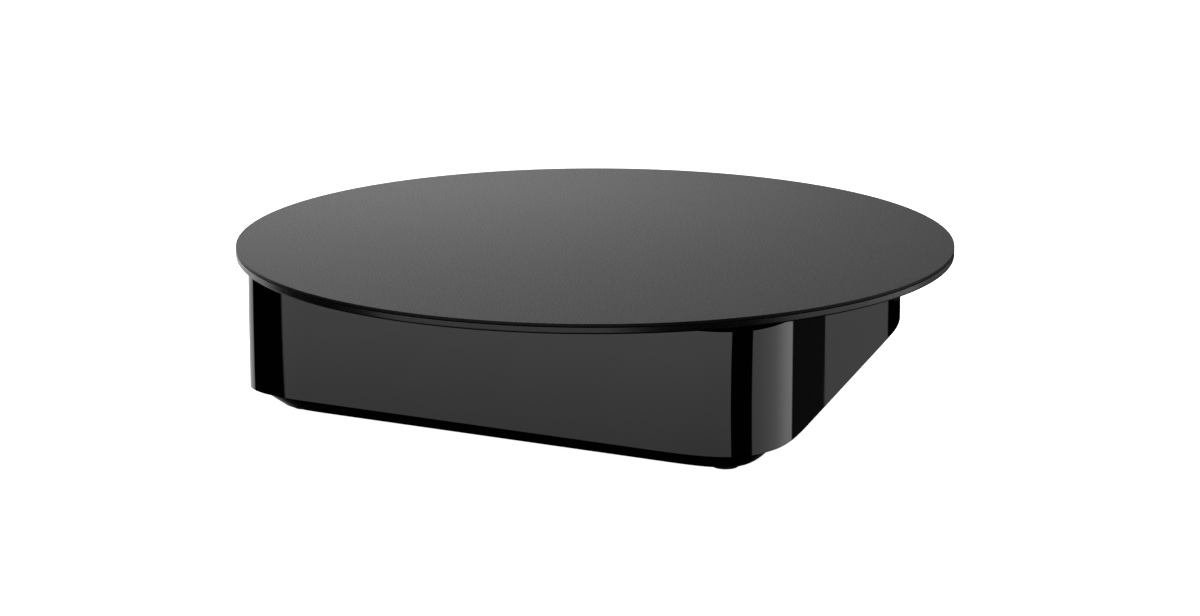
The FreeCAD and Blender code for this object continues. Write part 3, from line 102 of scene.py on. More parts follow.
def blendNode(tree, first, second, share):
    # the first value with a share of the second in it
    parts = mathNode(tree, "MULTIPLY", first, 1 - share), mathNode(tree, "MULTIPLY", second, share)
    return mathNode(tree, "ADD", *parts)


def newFinish(name, look):
    material = bpy.data.materials.new(name)
    material.use_nodes = True
    shader = material.node_tree.nodes["Principled BSDF"]
    settings = {
        "Base Color": (*look["colour"], 1.0),
        "Roughness": look["roughness"][0],
        "Metallic": look.get("metallic", 0.0),
        "IOR": 1.5,
        "Specular IOR Level": look.get("specular", 0.5),
    }
    for socket, value in settings.items():
        shader.inputs[socket].default_value = value
    return material, material.node_tree, shader


def objectPoint(tree, centre=(0, 0, 0), stretch=(1, 1, 1)):
    point = tree.nodes.new("ShaderNodeTexCoord").outputs["Object"]
    mapping = tree.nodes.new("ShaderNodeMapping")
    mapping.inputs["Scale"].default_value = stretch
    mapping.inputs["Location"].default_value = [-c * s for c, s in zip(centre, stretch)]
    tree.links.new(point, mapping.inputs["Vector"])
    return mapping.outputs["Vector"]


def axisDistance(tree, centre):
    # distance from an upright axis, for marks left by turning
    split = tree.nodes.new("ShaderNodeSeparateXYZ")
    tree.links.new(objectPoint(tree, centre), split.inputs["Vector"])
    squares = [mathNode(tree, "MULTIPLY", split.outputs[a], split.outputs[a]) for a in "XY"]
    radius = mathNode(tree, "SQRT", mathNode(tree, "ADD", *squares))
    joined = tree.nodes.new("ShaderNodeCombineXYZ")
    tree.links.new(radius, joined.inputs["X"])
    tree.links.new(split.outputs["Z"], joined.inputs["Y"])
    return joined.outputs["Vector"]


def noiseNode(tree, point, size, detail):
    node = tree.nodes.new("ShaderNodeTexNoise")
    node.inputs["Scale"].default_value = 1.0 / size
    node.inputs["Detail"].default_value = detail
    tree.links.new(point, node.inputs["Vector"])
    return node.outputs["Fac"]


def waveNode(tree, point, width, direction="X", plainWidth=0.314):
    # bands of one width, from a texture whose bands have the plain width at a scale of 1
    node = tree.nodes.new("ShaderNodeTexWave")
    node.bands_direction = direction
    node.inputs["Scale"].default_value = plainWidth / width
    tree.links.new(point, node.inputs["Vector"])
    return node.outputs["Fac"]


def shadeBy(tree, shader, value, colour, spread):
    # lighter and darker shades of one colour, spread evenly about it
    mixed = tree.nodes.new("ShaderNodeMix")
    mixed.data_type = "RGBA"
    colours = [item for item in mixed.inputs if item.type == "RGBA"]
    colours[0].default_value = (*[c * (1 - spread) for c in colour], 1.0)
    colours[1].default_value = (*[c * (1 + spread) for c in colour], 1.0)
    tree.links.new(value, mixed.inputs[0])
    result = next(item for item in mixed.outputs if item.type == "RGBA")
    tree.links.new(result, shader.inputs["Base Color"])


def roughBy(tree, shader, value, low, high, darkest=0.3, lightest=0.7):
    # the value's usual range is stretched over the two roughnesses
    tree.links.new(fadeNode(tree, value, darkest, lightest, low, high, "LINEAR"), shader.inputs["Roughness"])


def bumpBy(tree, shader, value, height):
    bump = tree.nodes.new("ShaderNodeBump")
    bump.inputs["Distance"].default_value = height
    tree.links.new(value, bump.inputs["Height"])
    tree.links.new(bump.outputs["Normal"], shader.inputs["Normal"])


def layMarks(tree, shader, look, tone, marks, relief):
    shadeBy(tree, shader, tone, look["colour"], look["toneDepth"])
    roughBy(tree, shader, marks, *look["roughness"])
    if "reliefHeight" in look:
        bumpBy(tree, shader, relief, look["reliefHeight"])


def grainedFinish(name, look, centre=(0, 0, 0)):
    # The marks vary the roughness, the tone varies the shade and the relief is embossed. Each entry holds a size in
    # metres and a detail. Tone and relief follow the marks where they have no entry.
    material, tree, shader = newFinish(name, look)
    turned = look.get("turned", False)
    plain = objectPoint(tree, (0, 0, 0) if turned else centre)
    marked = axisDistance(tree, centre) if turned else objectPoint(tree, centre, look.get("stretch", (1, 1, 1)))
    marks = noiseNode(tree, marked, *look["marks"])
    tone = noiseNode(tree, plain, *look["tone"]) if "tone" in look else marks
    relief = noiseNode(tree, plain, *look["relief"]) if "relief" in look else marks
    layMarks(tree, shader, look, tone, marks, relief)
    return material


# Studio: soft upright panels round the object, a softbox and a pale floor.
# A panel's place is its azimuth in degrees: 0 in front, 90 to the right, counted up from the dark side at the left.

studio = {
    "darkSide": -72.0,            # azimuth of the darkest direction, where the count starts
    "panelFoot": (-34.0, -5.0),   # elevations between which the panels without a foot of their own fade in
    "panelHead": (24.0, 46.0),    # and fade out
    "ceilingStart": (35.0, 60.0),
    "ceilingBright": 0.15,
    "backdrop": 1.0,
    "panels": {
        "front": {"start": -43.4, "startSoft": 1.0, "end": 38.8, "endSoft": 1.0, "bright": 1.5},
        "right": {"start": 88.9, "startSoft": 1.2, "end": 151.6, "endSoft": 0.5, "bright": 1.43},
        "rightCorner": {"start": 141.0, "startSoft": 9.0, "end": 151.6, "endSoft": 0.5, "bright": 0.5},
        "sideGap": {"start": 151.6, "startSoft": 0.5, "end": 155.074, "endSoft": 0.005, "bright": 0.038},
        "side": {"start": 155.074, "startSoft": 0.005, "end": 156.1, "endSoft": 0.1, "bright": 0.55},
        "back": {
            "start": 158.0, "startSoft": 3.0, "end": 178.0, "endSoft": 16.0, "bright": 0.5, "foot": (-13.3, -13.0)},
        "backLeft": {
            "start": 207.0, "startSoft": 12.0, "end": 263.0, "endSoft": 2.5, "bright": 1.65, "foot": (-38.0, -3.3)},
    },
}
softbox = {"place": (-0.112, 0.0867, 0.215), "aim": (-0.02, 0.0, 0.045), "size": 0.1, "power": 0.995}
floorLook = {
    "reach": 6.0,
    "colour": (0.9, 0.9, 0.9),
    "roughness": (0.9,),
    "ownLight": 0.97,
    "fibre": (0.0008, 2.0),
    "fibreHeight": 0.00002,
}


def makeStudio(look):
    world = bpy.data.worlds.new("studio")
    scene.world = world
    world.use_nodes = True
    tree = world.node_tree
    tree.nodes.clear()
    direction = tree.nodes.new("ShaderNodeTexCoord").outputs["Generated"]
    split = tree.nodes.new("ShaderNodeSeparateXYZ")
    tree.links.new(direction, split.inputs["Vector"])
    forward = mathNode(tree, "MULTIPLY", split.outputs["Y"], -1.0)
    around = mathNode(tree, "DEGREES", mathNode(tree, "ARCTAN2", split.outputs["X"], forward))
    start = look["darkSide"]
    azimuth = mathNode(tree, "WRAP", around, start + 360.0, start)
    elevation = mathNode(tree, "DEGREES", mathNode(tree, "ARCSINE", split.outputs["Z"]))
    total = None
    for panel in look["panels"].values():
        start, end = panel["start"], panel["end"]
        rise = fadeNode(tree, azimuth, start - panel["startSoft"], start + panel["startSoft"])
        fall = fadeNode(tree, azimuth, end - panel["endSoft"], end + panel["endSoft"], 1.0, 0.0)
        foot = fadeNode(tree, elevation, *panel.get("foot", look["panelFoot"]), 0.0, panel["bright"], "LINEAR")
        shape = mathNode(tree, "MULTIPLY", mathNode(tree, "MULTIPLY", rise, fall), foot)
        total = shape if total is None else mathNode(tree, "ADD", total, shape)
    head = fadeNode(tree, elevation, *look["panelHead"], 1.0, 0.0)
    panels = mathNode(tree, "MULTIPLY", total, head)
    ceiling = fadeNode(tree, elevation, *look["ceilingStart"], 0.0, look["ceilingBright"])
    light = tree.nodes.new("ShaderNodeBackground")
    tree.links.new(mathNode(tree, "ADD", panels, ceiling), light.inputs["Strength"])
    backdrop = tree.nodes.new("ShaderNodeBackground")
    backdrop.inputs["Strength"].default_value = look["backdrop"]
    for shader in (light, backdrop):
        shader.inputs["Color"].default_value = (1.0, 1.0, 1.0, 1.0)
    mixed = tree.nodes.new("ShaderNodeMixShader")
    seen = tree.nodes.new("ShaderNodeLightPath").outputs["Is Camera Ray"]
    tree.links.new(seen, mixed.inputs["Fac"])
    tree.links.new(light.outputs["Background"], mixed.inputs[1])
    tree.links.new(backdrop.outputs["Background"], mixed.inputs[2])
    output = tree.nodes.new("ShaderNodeOutputWorld")
    tree.links.new(mixed.outputs["Shader"], output.inputs["Surface"])
    scene.view_settings.view_transform = "Standard"


def makeSoftbox(look):
    data = bpy.data.lights.new("softbox", "AREA")
    data.shape = "DISK"
    data.size = look["size"]
    data.energy = look["power"]
    light = bpy.data.objects.new("softbox", data)
    light.location = look["place"]
    light.rotation_mode = "QUATERNION"
    aim = Vector(look["aim"]) - Vector(look["place"])
    light.rotation_quaternion = aim.to_track_quat("-Z", "Y")
    light.visible_glossy = False
    light.visible_camera = False
    scene.collection.objects.link(light)


def makeFloor(look):
    reach = look["reach"]
    mesh = bpy.data.meshes.new("floor")
    corners = [(-reach, -reach, 0), (reach, -reach, 0), (reach, reach, 0), (-reach, reach, 0)]
    mesh.from_pydata(corners, [], [(0, 1, 2, 3)])
    floor = bpy.data.objects.new("floor", mesh)
    scene.collection.objects.link(floor)
    material, tree, shader = newFinish("floorPaper", look)
    shader.inputs["Emission Color"].default_value = (1.0, 1.0, 1.0, 1.0)
    shader.inputs["Emission Strength"].default_value = look["ownLight"]
    bumpBy(tree, shader, noiseNode(tree, objectPoint(tree), *look["fibre"]), look["fibreHeight"])
    mesh.materials.append(material)
    floor.visible_glossy = False
    floor.visible_diffuse = False


makeStudio(studio)
makeSoftbox(softbox)
makeFloor(floorLook)
print("camera and studio ready")


# mesh building blocks

def newPiece(name, mesh, material, body="base", sharpAngle=38.0):
    mesh.shade_smooth()
    mesh.set_sharp_from_angle(angle=math.radians(sharpAngle))
    mesh.materials.clear()
    mesh.materials.append(material)
    piece = bpy.data.objects.new(name, mesh)
    scene.collection.objects.link(piece)
    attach(piece, body)
    return piece


def skin(rings, closed=False):
    # Rings run counterclockwise seen from above, from the underside outwards, up and back in.
    # A ring of one point closes an end.
    shell = bmesh.new()
    loops = [[shell.verts.new([c * mm for c in point]) for point in ring] for ring in rings]
    pairs = list(zip(loops, loops[1:]))
    if closed:
        pairs.append((loops[-1], loops[0]))
    for below, above in pairs:
        count = max(len(below), len(above))
        for i in range(count):
            j = (i + 1) % count
            corners = [below[i % len(below)], below[j % len(below)], above[j % len(above)], above[i % len(above)]]
            shell.faces.new(list(dict.fromkeys(corners)))
    return shell


def toMesh(name, *shells):
    mesh = bpy.data.meshes.new(name)
    whole = bmesh.new()
    for shell in shells:
        part = bpy.data.meshes.new("part")
        shell.to_mesh(part)
        shell.free()
        whole.from_mesh(part)
        bpy.data.meshes.remove(part)
    whole.to_mesh(mesh)
    whole.free()
    return mesh


def roundedProfile(corners, steps=5, guide=0.4):
    # (distance, level, rounding) corners become one line. A rounded corner has a close guide point each side, a
    # share of the rounding away, which keeps the flat shading next to it.
    line = []
    for index, (x, z, rounding) in enumerate(corners):
        here = Vector((x, z))
        if rounding == 0 or index in (0, len(corners) - 1):
            line.append(here)
            continue
        before = (Vector(corners[index - 1][:2]) - here).normalized()
        after = (Vector(corners[index + 1][:2]) - here).normalized()
        half = before.angle(after) / 2
        reach = rounding / math.tan(half)
        centre = here + (before + after).normalized() * (rounding / math.sin(half))
        first, last = here + before * reach - centre, here + after * reach - centre
        turn = first.angle_signed(last)
        line.append(here + before * (reach + rounding * guide))
        for step in range(steps + 1):
            line.append(centre + Matrix.Rotation(-turn * step / steps, 2) @ first)
        line.append(here + after * (reach + rounding * guide))
    return line


def lathe(profile, count, centre=(0.0, 0.0)):
    rings = []
    for radius, level in profile:
        if radius == 0:
            rings.append([(*centre, level)])
            continue
        turn = [2 * math.pi * (i + 0.5) / count for i in range(count)]
        rings.append([(centre[0] + radius * math.cos(a), centre[1] + radius * math.sin(a), level) for a in turn])
    return skin(rings)


def softOutline(width, front, back, reaches, softness, cornerSteps, sideSteps, taper=0.0):
    # Plan outline whose corners ease in and out, counterclockwise from the left front corner.
    # Reaches and softness each hold the front value, then the back value.
    half = width / 2
    backHalf = half - (front + back) * math.tan(math.radians(taper))
    points = [Vector((-half, -front)), Vector((half, -front)), Vector((backHalf, back)), Vector((-backHalf, back))]
    line = []
    for index, corner in enumerate(points):
        following = points[(index + 1) % 4]
        toLast = (points[index - 1] - corner).normalized()
        toNext = (following - corner).normalized()
        reach, nextReach = reaches[index // 2], reaches[(index + 1) % 4 // 2]
        start, end = corner + toLast * reach, corner + toNext * reach
        pull = softness[index // 2]
        first, second = start.lerp(corner, pull), end.lerp(corner, pull)
        for step in range(cornerSteps):
            t = step / cornerSteps
            s = 1 - t
            line.append(start * s**3 + first * 3 * s * s * t + second * 3 * s * t * t + end * t**3)
        far = following - toNext * nextReach
        for step in range(sideSteps):
            line.append(end.lerp(far, step / sideSteps))
    return line


def circleFor(outline, radius, centre=(0.0, 0.0)):
    # circle with one point in the direction of each outline point
    middle = Vector(centre)
    return [middle + (point - middle).normalized() * radius for point in outline]


def raisedRing(line, level):
    return [(point.x, point.y, level) for point in line]


def turnedBack(mesh, centre):
    # from standing upright at the origin to pointing out of the back at its place
    mesh.transform(Matrix.Rotation(math.radians(-90), 4, "X"))
    mesh.transform(Matrix.Translation(Vector(centre) * mm))


# geometry node building blocks

def newTree(name, inputs):
    tree = bpy.data.node_groups.new(name, "GeometryNodeTree")
    kinds = {int: "NodeSocketInt", float: "NodeSocketFloat"}
    sockets = {}
    for label, value in inputs.items():
        item = tree.interface.new_socket(name=label, in_out="INPUT", socket_type=kinds[type(value)])
        sockets[label] = item.identifier
    tree.interface.new_socket(name="Geometry", in_out="OUTPUT", socket_type="NodeSocketGeometry")
    return tree, sockets, tree.nodes.new("NodeGroupInput").outputs


def treeNode(tree, kind, mode=None, **inputs):
    node = tree.nodes.new(kind)
    if mode:
        node.mode = mode
    for label, value in inputs.items():
        socket = node.inputs[label.replace("_", " ")]
        if isinstance(value, bpy.types.NodeSocket):
            tree.links.new(value, socket)
        else:
            socket.default_value = value
    return node


def vectorOf(tree, **axes):
    return treeNode(tree, "ShaderNodeCombineXYZ", **axes).outputs["Vector"]


def finishTree(tree, geometry, material):
    plain = treeNode(tree, "GeometryNodeRealizeInstances", Geometry=geometry)
    dressed = treeNode(tree, "GeometryNodeSetMaterial", Geometry=plain.outputs["Geometry"], Material=material)
    output = tree.nodes.new("NodeGroupOutput")
    tree.links.new(dressed.outputs["Geometry"], output.inputs[0])


def meshFromTree(tree, sockets, inputs):
    carrier = bpy.data.objects.new("carrier", bpy.data.meshes.new("carrier"))
    scene.collection.objects.link(carrier)
    modifier = carrier.modifiers.new("shape", "NODES")
    modifier.node_group = tree
    for label, value in inputs.items():
        modifier[sockets[label]] = value
    evaluated = carrier.evaluated_get(bpy.context.evaluated_depsgraph_get())
    mesh = bpy.data.meshes.new_from_object(evaluated)
    carrier.modifiers.remove(modifier)
    bpy.data.objects.remove(carrier)
    return mesh


# platter: grained sheet on a moulded plate

topSheet = {
    "radius": 100.0,
    "base": 44.25,
    "top": 45.0,
    "lowerRound": 0.05,
    "upperRound": 0.06,
    "edgeSteps": 4,
    "segments": 360,
    "guides": (20.0, 50.0, 80.0, 96.0),
    "colour": (0.04, 0.04, 0.041),
    "roughness": (0.47, 0.53),
    "specular": 0.08,
    "marks": (0.0005, 1.0),
    "toneDepth": 0.5,
    "reliefHeight": 0.00005,
    "speckle": (0.42, 0.58),      # between these grain values the shade turns from dark to light
    "cloud": (0.02, 2.0),
    "cloudShare": 0.05,
    "rim": {                      # the sheet's dark cut edge
        "colour": (0.006, 0.006, 0.006),
        "roughness": (0.38, 0.46),
        "specular": 0.08,
        "tone": (0.004, 2.0),
        "toneDepth": 0.3,
        "marks": (0.0008, 3.0),
        "stretch": (1, 1, 6),
    },
}


def sheetGrain(look):
    material, tree, shader = newFinish("sheetGrain", look)
    grain, cloud = (noiseNode(tree, objectPoint(tree), *look[key]) for key in ("marks", "cloud"))
    speckle = fadeNode(tree, grain, *look["speckle"], kind="LINEAR")
    layMarks(tree, shader, look, blendNode(tree, speckle, cloud, look["cloudShare"]), grain, grain)
    return material


def makeTopSheet(look):
    radius, base, top, guides = (look[key] for key in ("radius", "base", "top", "guides"))
    corners = [(guide, base, 0) for guide in (0, *guides)]
    corners += [(radius, base, look["lowerRound"]), (radius, top, look["upperRound"])]
    corners += [(guide, top, 0) for guide in (*reversed(guides), 0)]
    mesh = toMesh("topSheet", lathe(roundedProfile(corners, look["edgeSteps"]), look["segments"]))
    piece = newPiece("topSheet", mesh, sheetGrain(look), "turntable")
    mesh.materials.append(grainedFinish("sheetRim", look["rim"]))
    for face in mesh.polygons:
        upright = abs(face.normal.z) < 0.5
        face.material_index = int(upright)
    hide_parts("platter_top_sheet")


plate = {
    "radius": 100.0,
    "base": 42.2,
    "rimTop": 44.0,
    "seat": 44.25,            # face under the sheet
    "grooveDepth": 2.0,
    "lowerRound": 0.45,       # rounding of the rim's lower edge, shows as a dark line
    "edgeRound": 0.1,
    "edgeSteps": 4,
    "segments": 360,
    "guides": (30.0, 60.0, 90.0),
    "ribCount": 12,
    "ribWidth": 1.6,
    "ribBase": 41.2,
    "ribSunk": 0.2,           # how far the ribs run up into the plate
    "ribRound": 0.3,
    "ribRoundSteps": 3,
    "innerRing": 32.0,
    "outerRing": 92.0,
    "ringSteps": 180,
    "colour": (0.0035, 0.0035, 0.0038),
    "roughness": (0.24, 0.3),
    "specular": 0.44,
    "marks": (0.006, 3.0),
    "toneDepth": 0.25,
    "relief": (0.002, 2.0),
    "reliefHeight": 0.0000005,
}


def plateRibs(look, material):
    inputs = {
        "ribCount": look["ribCount"],
        "ribWidth": look["ribWidth"] * mm,
        "ribHeight": (look["base"] + look["ribSunk"] - look["ribBase"]) * mm,
        "ribBase": look["ribBase"] * mm,
        "ribRound": look["ribRound"] * mm,
        "ribRoundSteps": look["ribRoundSteps"],
        "innerRing": look["innerRing"] * mm,
        "outerRing": look["outerRing"] * mm,
        "ringSteps": look["ringSteps"],
    }
    tree, sockets, given = newTree("plateRibs", inputs)
    section = treeNode(
        tree, "GeometryNodeCurvePrimitiveQuadrilateral", Width=given["ribWidth"], Height=given["ribHeight"])
    rounded = treeNode(
        tree, "GeometryNodeFilletCurve", "POLY", Curve=section.outputs["Curve"], Radius=given["ribRound"],
        Count=given["ribRoundSteps"])
    profile = rounded.outputs["Curve"]
    half = mathNode(tree, "MULTIPLY", given["ribHeight"], 0.5)
    level = mathNode(tree, "ADD", given["ribBase"], half)
    spokeLine = treeNode(
        tree, "GeometryNodeCurvePrimitiveLine",
        Start=vectorOf(tree, X=given["innerRing"], Z=level), End=vectorOf(tree, X=given["outerRing"], Z=level))
    spoke = treeNode(
        tree, "GeometryNodeCurveToMesh", Curve=spokeLine.outputs["Curve"], Profile_Curve=profile, Fill_Caps=True)
    points = treeNode(tree, "GeometryNodeMeshLine", Count=given["ribCount"], Offset=(0.0, 0.0, 0.0))
    index = tree.nodes.new("GeometryNodeInputIndex").outputs["Index"]
    step = mathNode(tree, "DIVIDE", 2 * math.pi, given["ribCount"])
    turn = vectorOf(tree, Z=mathNode(tree, "MULTIPLY", index, step))
    spokes = treeNode(
        tree, "GeometryNodeInstanceOnPoints", Points=points.outputs["Mesh"], Instance=spoke.outputs["Mesh"],
        Rotation=turn)
    parts = [spokes.outputs["Instances"]]
    for name in ("innerRing", "outerRing"):
        ringLine = treeNode(
            tree, "GeometryNodeCurvePrimitiveCircle", Resolution=given["ringSteps"], Radius=given[name])
        lifted = treeNode(
            tree, "GeometryNodeSetPosition", Geometry=ringLine.outputs["Curve"], Offset=vectorOf(tree, Z=level))
        ring = treeNode(
            tree, "GeometryNodeCurveToMesh", Curve=lifted.outputs["Geometry"], Profile_Curve=profile)
        parts.append(ring.outputs["Mesh"])
    joined = tree.nodes.new("GeometryNodeJoinGeometry")
    for part in parts:
        tree.links.new(part, joined.inputs["Geometry"])
    finishTree(tree, joined.outputs["Geometry"], material)
    return meshFromTree(tree, sockets, inputs)


def makePlate(look):
    radius, base, seat, guides = (look[key] for key in ("radius", "base", "seat", "guides"))
    groove = radius - look["grooveDepth"]
    corners = [(guide, base, 0) for guide in (0, *guides)] + [(radius, base, look["lowerRound"])]
    corners += [(radius, look["rimTop"], look["edgeRound"]), (groove, look["rimTop"], 0), (groove, seat, 0)]
    corners += [(guide, seat, 0) for guide in (*reversed(guides[:-1]), 0)]
    material = grainedFinish("plateGloss", look)
    ribs = plateRibs(look, material)
    shell = bmesh.new()
    shell.from_mesh(ribs)
    bpy.data.meshes.remove(ribs)
    body = lathe(roundedProfile(corners, look["edgeSteps"]), look["segments"])
    mesh = toMesh("platterPlate", body, shell)
    piece = newPiece("platterPlate", mesh, material, "turntable")
    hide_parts("platter_plate")


makeTopSheet(topSheet)
makePlate(plate)
print("platter made")


# upper housing

housing = {
    "width": 162.3,
    "front": 66.1,
    "back": 45.4,
    "cornerReaches": (27.3, 24.0),
    "softness": (0.80, 0.60),
    "wall": 2.2,
    "top": 40.3,
    "topRound": 0.1,
    "topRoundSteps": 6,
    "topGuide": 0.15,         # where the flat of the deck begins, in from the wall
    "deckRings": (0.35, 0.7),  # shares of the way from the wall to the opening
    "deckUnderside": 38.1,
    "undersideRings": (0.4, 0.8, 1.0),
    "deckOpening": 26.0,      # radius
    "openingLip": ((0.8, 0.0), (0.4, 0.0), (0.12, 0.12), (0.0, 0.4)),  # out from the opening, down from the top
    "crown": 0.3,             # how far the walls draw in at top and bottom
    "edgeRound": 0.08,
    "guide": 0.15,            # close rows that keep the walls' shading straight
    "cornerSteps": 64,
    "sideSteps": 20,
    "wallRows": 14,
    "colour": (0.0012, 0.0012, 0.0013),
    "roughness": (0.003, 0.01),
    "marks": (0.03, 4.0),
    "toneDepth": 0.3,
    "relief": (0.009, 1.0),
    "reliefHeight": 0.0000001,
}
lowerEdge = {"level": 6.77, "bendPlace": -41.4, "bendRadius": 71.0, "rise": 13.8}
bosses = {
    "places": ((-65.3, -49.0), (65.3, -49.0), (-55.0, 27.0), (55.0, 27.0)),
    "radius": 3.5,
    "pilot": 1.5,
    "base": 12.0,
    "top": 39.2,
    "pilotTop": 24.0,
    "segments": 32,
}


def edgeLevel(y, look=lowerEdge):
    # level of the housing's lower edge: flat in front, then rising to the back
    angle = math.radians(look["rise"])
    radius = look["bendRadius"]
    start = look["bendPlace"] - radius * math.tan(angle / 2)
    run = y - start
    if run <= 0:
        return look["level"]
    if run < radius * math.sin(angle):
        return look["level"] + radius - math.sqrt(radius**2 - run**2)
    rest = run - radius * math.sin(angle)
    return look["level"] + radius * (1 - math.cos(angle)) + rest * math.tan(angle)


def housingPlan(look, inset):
    return softOutline(
        look["width"] - 2 * inset, look["front"] - inset, look["back"] - inset,
        [reach - inset for reach in look["cornerReaches"]], look["softness"],
        look["cornerSteps"], look["sideSteps"])


def outwardOf(line):
    normals = []
    for index in range(len(line)):
        along = line[(index + 1) % len(line)] - line[index - 1]
        normals.append(Vector((along.y, -along.x)).normalized())
    return normals


def makeHousing(look, post):
    outer, inner = housingPlan(look, 0.0), housingPlan(look, look["wall"])
    normals = outwardOf(outer)
    top, rounding, edge, under = (look[key] for key in ("top", "topRound", "edgeRound", "deckUnderside"))
    shoulder = top - rounding
    lows = [edgeLevel(point.y) for point in outer]
    middle, halfHeight = (shoulder + lowerEdge["level"]) / 2, (shoulder - lowerEdge["level"]) / 2

    def wallRing(levels, inset=0.0):
        # the front is crowned: it draws in a little towards its top and bottom
        points = []
        for point, normal, level in zip(outer, normals, levels):
            reach = min(max(level, lowerEdge["level"]), shoulder) - middle
            drawn = inset + look["crown"] * (reach / halfHeight) ** 2 * max(0.0, -normal.y) ** 2
            points.append((*(point - normal * drawn), level))
        return points

    def deckRing(first, second, share, level):
        return raisedRing([p.lerp(q, share) for p, q in zip(first, second)], level)

    rings = [[(point.x, point.y, edgeLevel(point.y)) for point in inner], wallRing(lows, edge)]
    guide = look["guide"]
    rings += [wallRing([low + edge + above for low in lows]) for above in (0.0, guide)]
    rows = look["wallRows"]
    rings += [wallRing([low + (shoulder - low) * row / rows for low in lows]) for row in range(1, rows)]
    rings.append(wallRing([shoulder - guide] * len(outer)))
    steps = look["topRoundSteps"]
    for step in range(steps + 1):
        angle = math.pi / 2 * step / steps
        level = shoulder + rounding * math.sin(angle)
        rings.append(wallRing([level] * len(outer), rounding * (1 - math.cos(angle))))
    rings.append(wallRing([top] * len(outer), look["topGuide"]))
    brim = [Vector(point[:2]) for point in rings[-1]]
    hole = look["deckOpening"]
    rings += [deckRing(brim, circleFor(brim, hole), share, top) for share in look["deckRings"]]
    for out, down in look["openingLip"]:
        rings.append(raisedRing(circleFor(brim, hole + out), top - down))
    rings.append(raisedRing(circleFor(brim, hole), under))
    rings += [deckRing(circleFor(inner, hole), inner, share, under) for share in look["undersideRings"]]
    shells = [skin(rings, closed=True)]
    bore, radius, base = post["pilot"], post["radius"], post["base"]
    profile = [(0, post["pilotTop"]), (bore, post["pilotTop"]), (bore, base), (radius, base)]
    profile += [(radius, post["top"]), (0, post["top"])]
    shells += [lathe(profile, post["segments"], place) for place in post["places"]]
    piece = newPiece("upperHousing", toMesh("upperHousing", *shells), grainedFinish("housingGloss", look), "base")
    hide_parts("upper_housing")


makeHousing(housing, bosses)
print("upper housing made")


# base pan and feet

pan = {
    "width": 149.0,
    "front": 56.75,
    "back": 35.0,
    "taper": 9.84,
    "reaches": (21.8, 10.0),
    "softness": (0.84, 0.84),
    "cornerGrowth": 0.6,      # reach a corner gains for each millimetre the plan grows
    "middle": (0.0, -10.0),   # where the floor's faces meet
    "base": 1.33,
    "floor": 3.33,
    "floorGrow": -0.76,
    "flare": 5.6,
    "flareTop": 6.34,
    "hollowGrow": 2.6,
    "bottomRound": 0.3,
    "flareRound": 0.4,
    "ledgeInset": 2.5,
    "ledge": 2.0,
    "cornerSteps": 64,
    "sideSteps": 20,
    "stands": ((-57.2, -48.0), (-55.2, 18.0), (22.0, -50.0), (22.0, 19.5)),
    "standRadius": 3.5,
    "standTop": 26.0,
    "standHoleBase": 18.0,
    "boardStands": ((29.3, -23.0), (29.3, 18.0), (47.3, -23.0), (47.3, 18.0)),
    "boardStandRadius": 2.5,
    "boardStandTop": 8.33,
    "boardHole": 1.05,
    "boardHoleBase": 4.83,
    "bossRadius": 4.2,
    "bossTop": 12.0,
    "bossSegments": 48,
    "wellRadius": 2.9,
    "wellTop": 9.5,
    "screwHole": 1.5,
    "holeSegments": 24,
    "padRadius": 21.0,
    "padTop": 7.33,
    "padSegments": 96,
    "padHollow": 10.0,
    "hollowSegments": 64,
    "cutPast": 1.0,           # how far a cut runs on beyond the face it opens
    "ports": ((33.5, 12.6, 9.63, 21.03), (44.55, 9.7, 9.63, 21.23)),  # centre, width, bottom and top of each opening
    "portWall": (34.0, 46.0),
    "sharpAngle": 30.0,
    "colour": (0.0016, 0.0016, 0.0016),
    "roughness": (0.17, 0.33),
    "specular": 0.55,
    "marks": (0.0004, 3.0),
    "tone": (0.012, 3.0),
    "toneDepth": 0.3,
    "reliefHeight": 0.000008,
}


def panPlan(look, grow):
    return softOutline(
        look["width"] + 2 * grow, look["front"] + grow, look["back"] + grow,
        [reach + look["cornerGrowth"] * grow for reach in look["reaches"]], look["softness"],
        look["cornerSteps"], look["sideSteps"], look["taper"])


def trayShell(look):
    bottom, flare, flareTop, middle = (look[key] for key in ("base", "flare", "flareTop", "middle"))
    corners = [(-1, bottom, 0), (0, bottom, look["bottomRound"]), (flare, flareTop, look["flareRound"])]
    # the first and the last point only give the two roundings their directions
    outside = roundedProfile(corners + [(flare, flareTop + 1, 0)])[1:-1]
    rings = [[(*middle, bottom)]]
    rings += [raisedRing(panPlan(look, grow), level) for grow, level in outside]

    def edgeRing(line, above=0.0):
        return [(point.x, point.y, edgeLevel(point.y) + above) for point in line]

    lip = housingPlan(housing, look["ledgeInset"])
    inside = panPlan(look, look["hollowGrow"])
    rings += [edgeRing(panPlan(look, flare)), edgeRing(lip), edgeRing(lip, look["ledge"])]
    rings += [edgeRing(inside, look["ledge"]), raisedRing(inside, flareTop)]
    rings += [raisedRing(panPlan(look, look["floorGrow"]), look["floor"]), [(*middle, look["floor"])]]
    return skin(rings)


def posts(places, radius, base, top, segments=32):
    return [lathe([(0, base), (radius, base), (radius, top), (0, top)], segments, place) for place in places]


def block(x, width, y, depth, low, high):
    shell = bmesh.new()
    bmesh.ops.create_cube(shell, size=mm)
    shell.transform(
        Matrix.Translation(Vector((x, y, (low + high) / 2)) * mm) @ Matrix.Diagonal((width, depth, high - low, 1)))
    return shell


